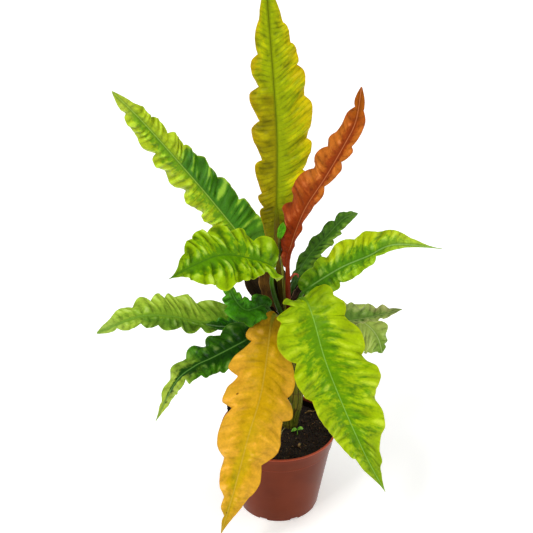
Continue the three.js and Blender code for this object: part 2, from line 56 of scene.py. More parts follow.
def unit(vectors):
    # each vector over its own length
    return vectors / np.maximum(np.linalg.norm(vectors, axis=-1, keepdims=True), 1e-9)


def softNoise(points, size, seed, octaves=3):
    # about -1 to 1: sines along random directions, each octave half as long and 0.55 as high
    fade, waves, gain = 0.55, 6, 2.4
    draw = np.random.RandomState(seed)
    total = np.zeros(points.shape[:-1])
    weight = 0
    for octave in range(octaves):
        for _ in range(waves):
            direction = draw.normal(size=points.shape[-1])
            direction *= 2 ** octave * 2 * math.pi / (size * np.linalg.norm(direction))
            total += fade ** octave * np.sin(points @ direction + draw.uniform(0, 2 * math.pi))
        weight += fade ** octave * waves
    return gain * total / weight


def roundTurns(count):
    # that many equal turns round a circle, in radians, from 0 on
    return np.linspace(0, 2 * math.pi, count, endpoint=False)


def splineThrough(points):
    # Hermite cubics through the points; a point's slope is half the way between its neighbours
    points = np.array(points, float)
    slopes = np.empty_like(points)
    slopes[1:-1] = (points[2:] - points[:-2]) / 2
    slopes[0] = points[1] - points[0]
    slopes[-1] = points[-1] - points[-2]

    def at(place):
        k = np.clip(np.floor(place), 0, len(points) - 2).astype(int)
        x = (place - k)[..., None]
        return ((2 * x ** 3 - 3 * x ** 2 + 1) * points[k] + (x ** 3 - 2 * x ** 2 + x) * slopes[k]
                + (3 * x ** 2 - 2 * x ** 3) * points[k + 1] + (x ** 3 - x ** 2) * slopes[k + 1])
    return at


def measuredPath(points, joint=0, steps=40):
    # the spline by length: 0 at the joint's point, 1 at the last one, below 0 before the joint
    at = splineThrough(points)
    places = np.linspace(0, len(points) - 1, steps * (len(points) - 1) + 1)
    lengths = np.concatenate([[0], np.cumsum(np.linalg.norm(np.diff(at(places), axis=0), axis=1))])
    before = lengths[joint * steps]
    after = lengths[-1] - before

    def byLength(t):
        return at(np.interp(before + np.asarray(t, float) * after, lengths, places))
    return byLength, -before / after, after


# meshes

def gridQuads(rows, columns, start=0, loop=False):
    # quads between neighbouring grid points, the last column joined to the first if it loops
    i = np.arange(rows - 1)[:, None]
    k = np.arange(columns if loop else columns - 1)[None, :]
    a = start + i * columns + k
    b = start + i * columns + (k + 1) % columns
    return np.stack([a, b, b + columns, a + columns], -1).reshape(-1, 4)


def closedRings(rings, first, last, start=0):
    # rings of points in rows, each joined to the next, the end ones closed to the first and last point
    rows, columns = rings.shape[:2]
    points = np.concatenate([rings.reshape(-1, 3), [first, last]])
    k = np.arange(columns)
    n = (k + 1) % columns
    end = (rows - 1) * columns
    caps = np.concatenate([np.stack([n, k, np.full(columns, len(points) - 2)], -1),
                           np.stack([end + k, end + n, np.full(columns, len(points) - 1)], -1)])
    return points, gridQuads(rows, columns, start, loop=True), caps + start


def tube(path, radii, sides, start=0):
    # a ring of points round each path point, at right angles to the way ahead
    path = np.asarray(path, float)
    ahead = unit(np.gradient(path, axis=0))
    across = unit(np.cross(ahead, [0.31, 0.22, 0.93]))
    above = np.cross(ahead, across)
    turns = roundTurns(sides)
    radii = np.broadcast_to(np.asarray(radii, float), (len(path),))[:, None, None]
    outward = np.cos(turns)[:, None] * across[:, None] + np.sin(turns)[:, None] * above[:, None]
    return closedRings(path[:, None] + radii * outward, path[0], path[-1], start)


def thinSkin(top, base):
    # two grids of points, one over the other, joined by quads right round their rim
    rows, columns = top.shape[:2]
    count = rows * columns
    i, k = np.arange(rows - 1), np.arange(columns - 1)
    rim = np.concatenate([k, i * columns + columns - 1, count - 1 - k, (rows - 1 - i) * columns])
    after = np.roll(rim, -1)
    upper = gridQuads(rows, columns)
    edge = np.stack([rim, rim + count, after + count, after], -1)
    points = np.concatenate([top.reshape(-1, 3), base.reshape(-1, 3)])
    return points, np.concatenate([upper, upper[:, ::-1] + count, edge])


def addPiece(name, points, faces, finish, nodes=(), attributes=None, creaseAngle=60):
    # points as (n, 3) in mm, faces as arrays of corner numbers with 3 or 4 columns, a name and
    # one value a point for each attribute
    mesh = bpy.data.meshes.new(name)
    mesh.vertices.add(len(points))
    mesh.vertices.foreach_set("co", (np.asarray(points, float) * millimetre).ravel())
    sizes = np.concatenate([np.full(len(part), part.shape[1]) for part in faces])
    corners = np.concatenate([part.ravel() for part in faces])
    mesh.loops.add(len(corners))
    mesh.loops.foreach_set("vertex_index", corners.astype(np.int32))
    mesh.polygons.add(len(sizes))
    mesh.polygons.foreach_set("loop_start", (np.cumsum(sizes) - sizes).astype(np.int32))
    for key, values in (attributes or {}).items():
        layer = mesh.attributes.new(key, "FLOAT", "POINT")
        layer.data.foreach_set("value", np.asarray(values, np.float32).ravel())
    mesh.update(calc_edges=True)
    mesh.validate()
    mesh.set_sharp_from_angle(angle=math.radians(creaseAngle))
    mesh.materials.append(finish)
    piece = bpy.data.objects.new(name, mesh)
    bpy.context.scene.collection.objects.link(piece)
    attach(piece, "root")
    if nodes:
        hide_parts(*nodes)
    return piece


# material maths

def paint(text):
    # "#rrggbb" as linear red, green, blue and a full alpha
    levels = [int(text[k:k + 2], 16) / 255 for k in (1, 3, 5)]
    return [x / 12.92 if x < 0.04045 else ((x + 0.055) / 1.055) ** 2.4 for x in levels] + [1]


class Wire:
    # an output socket; each operator adds the Math node that it stands for
    def __init__(self, finish, socket):
        self.finish = finish
        self.socket = socket

    def maths(self, operation, *values):
        # the Math node of that operation on the values
        return self.finish.node("Math", {"operation": operation}, dict(enumerate(values)))

    def __add__(self, other):
        return self.maths("ADD", self, other)

    def __radd__(self, other):
        return self.maths("ADD", other, self)

    def __sub__(self, other):
        return self.maths("SUBTRACT", self, other)

    def __rsub__(self, other):
        return self.maths("SUBTRACT", other, self)

    def __mul__(self, other):
        return self.maths("MULTIPLY", self, other)

    def __rmul__(self, other):
        return self.maths("MULTIPLY", other, self)

    def size(self):
        # the value without its sign
        return self.maths("ABSOLUTE", self)

    def fraction(self):
        # what is left over a whole number
        return self.maths("FRACT", self)

    def ease(self, low, high):
        # 0 below low, 1 above high and smooth between; falls instead if low is the greater
        if low > high:
            return 1 - self.ease(high, low)
        return self.finish.node("MapRange", {"interpolation_type": "SMOOTHSTEP"},
                                {"Value": self, "From Min": low, "From Max": high})


class Finish:
    # a material in the making: a plain colour, what covers it, and done with the Principled shader
    def __init__(self, name, color):
        self.color = paint(color)
        self.material = bpy.data.materials.new(name)
        self.material.use_nodes = True
        self.tree = self.material.node_tree
        self.tree.nodes.clear()
        self.place = self.node("TexCoord", output="Object")

    def node(self, kind, settings=None, sockets=None, output=0):
        # any shader node: its settings by name, its inputs by name or number, one output as a wire
        made = self.tree.nodes.new("ShaderNode" + kind)
        for key, value in (settings or {}).items():
            setattr(made, key, value)
        for key, value in (sockets or {}).items():
            if isinstance(value, Wire):
                self.tree.links.new(value.socket, made.inputs[key])
            else:
                made.inputs[key].default_value = value
        return None if output is None else Wire(self, made.outputs[output])

    def attribute(self, name):
        # the mark of that name on the mesh
        return self.node("Attribute", {"attribute_name": name}, output="Fac")

    def point(self, x, y, z):
        # three values as one place
        return self.node("CombineXYZ", None, {"X": x, "Y": y, "Z": z})

    def split(self):
        # x, y and z of the place on the object, in metres
        return [self.node("SeparateXYZ", None, {0: self.place}, output=k) for k in range(3)]

    def noise(self, place, scale, detail=2.0, rough=0.55):
        # cloudy values round 0.5, with about scale clouds in each unit of the place
        sockets = {"Vector": place, "Scale": scale, "Detail": detail, "Roughness": rough}
        return self.node("TexNoise", None, sockets)

    def cover(self, color, share):
        # the colour so far where share is 0, this one where it is 1
        settings = {"data_type": "RGBA", "clamp_factor": True}
        self.color = self.node("Mix", settings, {0: share, 6: self.color, 7: paint(color)}, output=2)

    def scale(self, factor):
        # the colour so far times the factor
        self.color = self.node("VectorMath", {"operation": "SCALE"}, {0: self.color, "Scale": factor})

    def done(self, roughness, height=None, depth=0.0005, strength=0.6, **values):
        # height is a bump of that depth in metres; values go straight on the shader's own sockets
        sockets = {"Base Color": self.color, "Roughness": roughness}
        sockets.update({key.replace("_", " "): value for key, value in values.items()})
        if height is not None:
            bump = {"Height": height, "Distance": depth, "Strength": strength}
            sockets["Normal"] = self.node("Bump", None, bump)
        shader = self.node("BsdfPrincipled", None, sockets)
        self.node("OutputMaterial", None, {"Surface": shader}, output=None)
        return self.material


# the leaves

bladeThickness = [0.8, 0.5]      # at the rib and at the edge
stalkRadius = [4.0, 2.5]         # at the crown and at the blade's foot
ribRadius = [1.15, 0.4]          # a little way up the blade and at the tip
ribSunk = 0.78                   # how deep the rib lies in the blade, in its own radius
ribSides = 12
leafRuffle = 0.14                # height of the wave at the edge as a share of a lobe
edgeSweep = 0.32                 # how far the side veins run on towards the tip
toothHook = 0.3                  # how far a tooth leans to the tip, in depths of its cut
edgeNibble = 0.015               # small unevenness of the edge as a share of the half width
leastReach = 0.4                 # half width left where the outline runs out
pleatGap, swellGap = 26, 55      # between two broad folds, between two slow swells
rowGap = 1.3                     # between two rows of points along the blade
rowCrowding = 1.35               # above 1 the rows stand closer on a lobe's steep side
halfColumns = 22                 # columns of points from the rib to the edge
footRows = 12                    # rows that round off the foot

# A leaf: path = the rib from the crown to the tip, its point number joint the blade's foot; face = where
# the upper side looks, from foot to tip; width, widest, base, bend = left and right half, in mm, share of
# the length, share of the width and degrees; notches and cuts = place and depth of each, half by half;
# foot = mm that the blade reaches below the joint; tooth = its place in a lobe, from notch to notch.
plainLeaf = {"joint": 2, "solid": True, "tooth": 0.7, "stout": 1, "veinGap": 10, "quilt": 0.7, "pleat": 1.6,
             "swell": 1.2}
# its look: inner and outer run into each other over spread; a patch covers a span of the length
# the light colour and lift are a painted highlight on the crests of the folds, and a painted shade darkens
# their troughs
plainLook = {"spread": [0.1, 0.85], "blotch": 1.2, "streak": 1.0, "fleck": 0.8, "tipFrom": 0.75,
             "footTo": 0.16, "crestHighlightShare": 0.2, "lift": 0.25, "troughShade": 0.45, "veinShare": 0.12,
             "veinRise": 0.5, "ribWidth": 1.2, "ribShare": 0.65, "shadeShare": 0.4, "dirt": 0.2,
             "rough": 0.38, "shine": 0.06, "patches": [], "spots": []}


def lobesOf(leaf, half, edgeT):
    # Which lobe an edge place is in, and its tooth: a quarter sine up from the notch to the tooth,
    # then a quarter cosine down. The depth of the cut is blended between the two notches.
    marks = np.array([0] + leaf["notches"][half] + [1])
    depths = np.array([0] + leaf["cuts"][half] + [0])
    k = np.clip(np.searchsorted(marks, edgeT, side="right") - 1, 0, len(marks) - 2)
    length = marks[k + 1] - marks[k]
    x = np.clip((edgeT - marks[k]) / length, 0, 1)
    top = leaf["tooth"]
    rise = np.sin(math.pi / 2 * np.clip(x / top, 0, 1))
    fall = np.cos(math.pi / 2 * np.clip((x - top) / (1 - top), 0, 1))
    return k + x, np.where(x < top, rise, fall), blend(depths[k], depths[k + 1], x), length


def outlineOf(leaf, half, t):
    # share of the half width: sine^0.8 from the base up to the widest place, then (1 - x^1.7)^tip down
    widest = leaf["widest"][half]
    rise = blend(leaf["base"][half], 1, np.sin(math.pi / 2 * np.clip(t / widest, 0, 1)) ** 0.8)
    fall = (1 - np.clip((t - widest) / (1 - widest), 0, 1) ** 1.7) ** leaf["tip"]
    return np.where(t < widest, rise, fall)


def frameOf(leaf, at, t):
    # towards the tip, to the right seen from above, and up from the upper side
    along = unit(at(np.minimum(t + 0.01, 1)) - at(np.minimum(t - 0.01, 1)))
    places = np.clip(t, 0, 1) * (len(leaf["face"]) - 1)
    faces = np.array(leaf["face"], float)
    facing = np.stack([np.interp(places, np.arange(len(faces)), faces[:, i]) for i in range(3)], -1)
    side = unit(np.cross(along, facing))
    return along, side, np.cross(side, along)


def halfBlade(leaf, at, blade, half, ribT, edgeT, narrowed, across):
    # Points from the rib out to the edge, where up is, the place along the rib and the reach. The half
    # folds up, bends over on an arc, is swept to the tip and waved once a lobe. A cut bites at the edge
    # only: reach = width (1 - cut) / (1 - cut (1 - across)). In the foot's rows narrowed is below 1.
    sign = -1 if half == 0 else 1
    t = blend(ribT, edgeT, across)
    along, side, up = frameOf(leaf, at, t)
    lobe, tooth, depth, length = lobesOf(leaf, half, edgeT)
    share = outlineOf(leaf, half, edgeT) * narrowed
    width = leaf["width"][half] * share
    nibble = softNoise(edgeT[..., None] * [blade, 0] + [0, 50 * half], 24, leaf["phase"] + 70, 2)
    cut = depth * (1 - tooth)
    reach = width * (1 - cut) / (1 - cut * (1 - across))
    reach = reach * (1 + edgeNibble * nibble * across ** 3) + leastReach
    fold = math.radians(leaf["fold"])
    bend = math.radians(leaf["bend"][half]) + 1e-4
    out = reach * (math.sin(fold) - np.sin(fold - bend * across)) / bend
    size = np.minimum(reach, length * blade)
    wave = leafRuffle * size * across ** 2 * np.minimum(1, 3 * share) * np.cos(2 * math.pi * lobe)
    lift = reach * (np.cos(fold - bend * across) - math.cos(fold)) / bend - wave
    ease = np.sin(math.pi / 2 * np.clip(4 * edgeT, 0, 1))
    sweep = width * blend(leaf["sweep"], edgeSweep, ease) * across ** 1.6
    hook = toothHook * width * depth * tooth * across ** 2
    forward = (sweep + hook) * np.minimum(1, 6 * (1 - edgeT))
    points = at(t) + sign * side * out[..., None] + up * lift[..., None] + along * forward[..., None]
    return points, up, t, reach


def leafRows(leaf, blade):
    # Edge places of both halves, row by row: first rows below 0 that round off the foot, then the
    # same count of rows in each pair of lobes.
    marks = [[0] + notches + [1] for notches in leaf["notches"]]
    lobes = len(marks[0]) - 1
    each = max(6, round(blade / rowGap / lobes))
    x = np.arange(lobes * each) / each
    x = np.floor(x) + 1 - (1 - x % 1) ** rowCrowding
    foot = np.linspace(0, 1, footRows + 1)[:-1]
    below = (foot - 1) * leaf.get("foot", 0.55 * leaf["base"][0] * leaf["width"][0]) / blade
    places = [np.concatenate([below, np.interp(x, np.arange(lobes + 1), half), [1]]) for half in marks]
    return *places, np.concatenate([np.sqrt(1 - (1 - foot) ** 2), np.ones(len(x) + 1)])


def leafRelief(leaf, points, signed, length, vein, reach):
    # Height over the plain blade: |sin|^1.2 pillows between the side veins, stronger here and weaker
    # there, broad folds along them that grow towards the edge, and slow swells over the whole blade.
    out, phase = np.abs(signed), leaf["phase"]
    uneven = 1 + 0.6 * softNoise(np.stack([length, 40 * signed], -1), 45, phase + 130, 2)
    pillow = (np.abs(np.sin(math.pi * vein)) ** 1.2 * 1.75 - 1) * np.clip(uneven, 0.2, 1.6)
    room = smoothStep(out, 0.03, 0.3) * np.minimum(1, reach / 20)
    fold = softNoise(np.stack([length, 26 * signed], -1) + 170 * phase, pleatGap, phase, 2)
    swell = softNoise(points + 31 * phase, swellGap, phase + 40, 2)
    height = room * (leaf["quilt"] * pillow * (1 - 0.4 * out ** 4)
                     + leaf["pleat"] * fold * (0.3 + 0.7 * out ** 1.5) + leaf["swell"] * swell)
    # the second value, the fold height without the swells, is where the finish paints highlight on crests
    # and shade in troughs
    return height, room * (0.6 * min(1, leaf["quilt"]) * pillow + 0.5 * fold)


def leafShape(leaf):
    # the blade as a thin closed skin and, sunk in it, the rib and stalk as one tapered bar
    at, start, blade = measuredPath(leaf["path"], leaf["joint"])
    leftT, rightT, narrowed = [a[:, None] for a in leafRows(leaf, blade)]
    ribT = (leftT + rightT) / 2
    across = np.linspace(0, 1, halfColumns + 1)[None, :] ** 0.9
    halves = [halfBlade(leaf, at, blade, half, *np.broadcast_arrays(ribT, edgeT, narrowed, across))
              for half, edgeT in enumerate([leftT, rightT])]
    points, up, along, reach = [np.concatenate([l[:, :0:-1], r], axis=1) for l, r in zip(*halves)]
    signed = np.concatenate([-across[:, :0:-1], across], axis=1) + 0 * ribT
    length = ribT * blade + 0 * signed
    drift = softNoise(np.stack([length, 30 * signed], -1), 60, leaf["phase"] + 90, 2)
    vein = length / leaf["veinGap"] + 0.5 * (signed > 0) + 0.35 * drift + leaf["phase"]

    out = np.abs(signed)
    normal = unit(unit(np.cross(np.gradient(points, axis=1), np.gradient(points, axis=0))) + up)
    height, pleat = leafRelief(leaf, points, signed, length, vein, reach)
    raised = points + normal * height[..., None]
    half = normal * (blend(bladeThickness[0], bladeThickness[1], out) / 2)[..., None]
    skin, quads = thinSkin(raised + half, raised - half)

    steps = np.linspace(start, 1, 40 + int(blade * (1 - start) / 2.5))
    stalk = blend(stalkRadius[1], stalkRadius[0], np.clip(steps / start, 0, 1)) * leaf["stout"]
    rib = blend(ribRadius[0], ribRadius[1], np.clip(steps, 0, 1))
    radii = blend(stalk, rib, smoothStep(steps, 0, 0.16))
    sunk = ribSunk * smoothStep(steps, -0.04, 0.1) * radii
    route = at(steps) - frameOf(leaf, at, steps)[2] * sunk[:, None]
    bar, barQuads, barEnds = tube(route, radii, ribSides, len(skin))
    barT = np.append(np.repeat(steps, ribSides), [start, 1])

    def onBoth(values, onBar):
        # the same mark on the upper and the lower skin, and another one on the bar
        return np.concatenate([values.ravel(), values.ravel(), onBar + 0 * barT])
    marks = {
        "across": onBoth(signed, 0), "along": onBoth(along, barT), "vein": onBoth(vein, 0),
        "pleat": onBoth(pleat, 0), "ribWay": onBoth(out * reach, 0.2),
        "under": np.concatenate([np.zeros(out.size), np.ones(out.size), 0 * barT]),
        "stalk": onBoth(0 * signed, 1 - smoothStep(barT, -0.03, 0.06)),
    }
    return np.concatenate([skin, bar]), [np.concatenate([quads, barQuads]), barEnds], marks


def leafFinish(leaf):
    # From the rib to the edge two colours run into each other in streaks along the side veins. Crests
    # of the folds get painted highlight and troughs painted shade; patches lie where each leaf has them.
    look = {**plainLook, **leaf["look"]}
    made = Finish(leaf["node"] + "_finish", look["inner"])
    across, along, vein, ribWay, under, stalk, pleat = [
        made.attribute(name) for name in ["across", "along", "vein", "ribWay", "under", "stalk", "pleat"]]
    out = across.size()
    cloud, mottle, fine = [made.noise(made.place, scale, detail) - 0.5
                           for scale, detail in [(24, 2), (80, 3), (320, 3)]]
    streak = made.noise(made.point(vein * 0.7, across * 1.5, leaf["phase"] * 3.1), 1.5, 3) - 0.5
    fleck = made.noise(made.point(vein * 2.2, across * 4, leaf["phase"] * 5.3), 1.5, 2) - 0.5

    wander = cloud * look["blotch"] + streak * look["streak"] + fleck * look["fleck"] + mottle * 0.4
    made.cover(look["outer"], (out + wander).ease(*look["spread"]))
    where = along + cloud * 0.35 + streak * 0.15
    for patch in look["patches"]:
        blur = patch.get("blur", 0.08)
        first, last = patch["span"]
        share = where.ease(first - blur, first + blur) * where.ease(last + blur, last - blur)
        if "side" in patch:
            share = share * (across * patch["side"]).ease(0.0, 0.05)
        if "out" in patch:
            share = share * (out + wander * 0.6).ease(*patch["out"])
        made.cover(patch["color"], share * patch["share"])
    made.cover(look["tip"], (along + cloud * 0.3).ease(look["tipFrom"], 1.0) * 0.8)
    made.cover(look["foot"], (along + cloud * 0.2).ease(look["footTo"], 0.0) * 0.8)

    # painted highlight on the crests of the folds and painted shade in their troughs, broken up by streaks
    # of real tone
    crest = pleat + streak * 0.7 + fleck * 0.5
    made.cover(look["light"], crest.ease(0.2, 0.9) * look["crestHighlightShare"])
    rise = crest.ease(0.0, 0.8) * look["lift"] - crest.ease(0.1, -0.8) * look["troughShade"]
    made.scale(1 + rise)

    # side veins, spots as soft ovals, the rib with a shade beside it, and the edge
    line = ((vein + mottle * 0.08).fraction() - 0.5).size().ease(0.38, 0.5) * out.ease(0.02, 0.1)
    made.cover(look["dark"], line * look["veinShare"])
    for along0, across0, length, width in look["spots"]:
        far, wide = (along - along0) * (1 / length), (across - across0) * (1 / width)
        made.cover(look["spot"], (far * far + wide * wide).ease(1.0, 0.3) * 0.85)
    rib = ribWay.ease(look["ribWidth"], look["ribWidth"] * 0.6) * along.ease(0.0, 0.08)
    made.cover(look["dark"], ribWay.ease(3.6, 1.2) * (1 - rib) * look["shadeShare"])
    made.cover(look["rib"], rib * look["ribShare"])
    made.cover(look["edge"], (out + fine * 0.08).ease(0.93, 1.0) * 0.5)
    made.cover(look.get("under", look["light"]), under * 0.4)
    made.cover(look["stalk"], stalk)
    # fine and mottled tone, and painted shade darkening each stalk towards the crown
    made.scale(1 + fine * 0.4 + mottle * 0.35 - stalk * along.ease(-0.1, -0.36) * 0.6)
    made.cover(look["dark"], (mottle * 0.5 + fine * 0.5).ease(0.08, 0.22) * look["dirt"])

    roughness = look["rough"] + fine * 0.3 + line * 0.1 + under * 0.15
    height = fine * 0.25 - line * look["veinRise"] + mottle * 0.6 + fleck * 0.5
    return made.done(roughness, height, depth=0.001, Specular_IOR_Level=look["shine"])


def makeBlade(leaf, ending, finish):
    # the plain values with the leaf's own over them, made into one piece, in its node's place if solid
    leaf = {**plainLeaf, **leaf}
    points, faces, marks = leafShape(leaf)
    nodes = [leaf["node"]] if leaf["solid"] else []
    addPiece(leaf["node"] + ending, points, faces, finish(leaf), nodes, marks)
    print("made:", leaf["node"] + ending, len(points), "points")


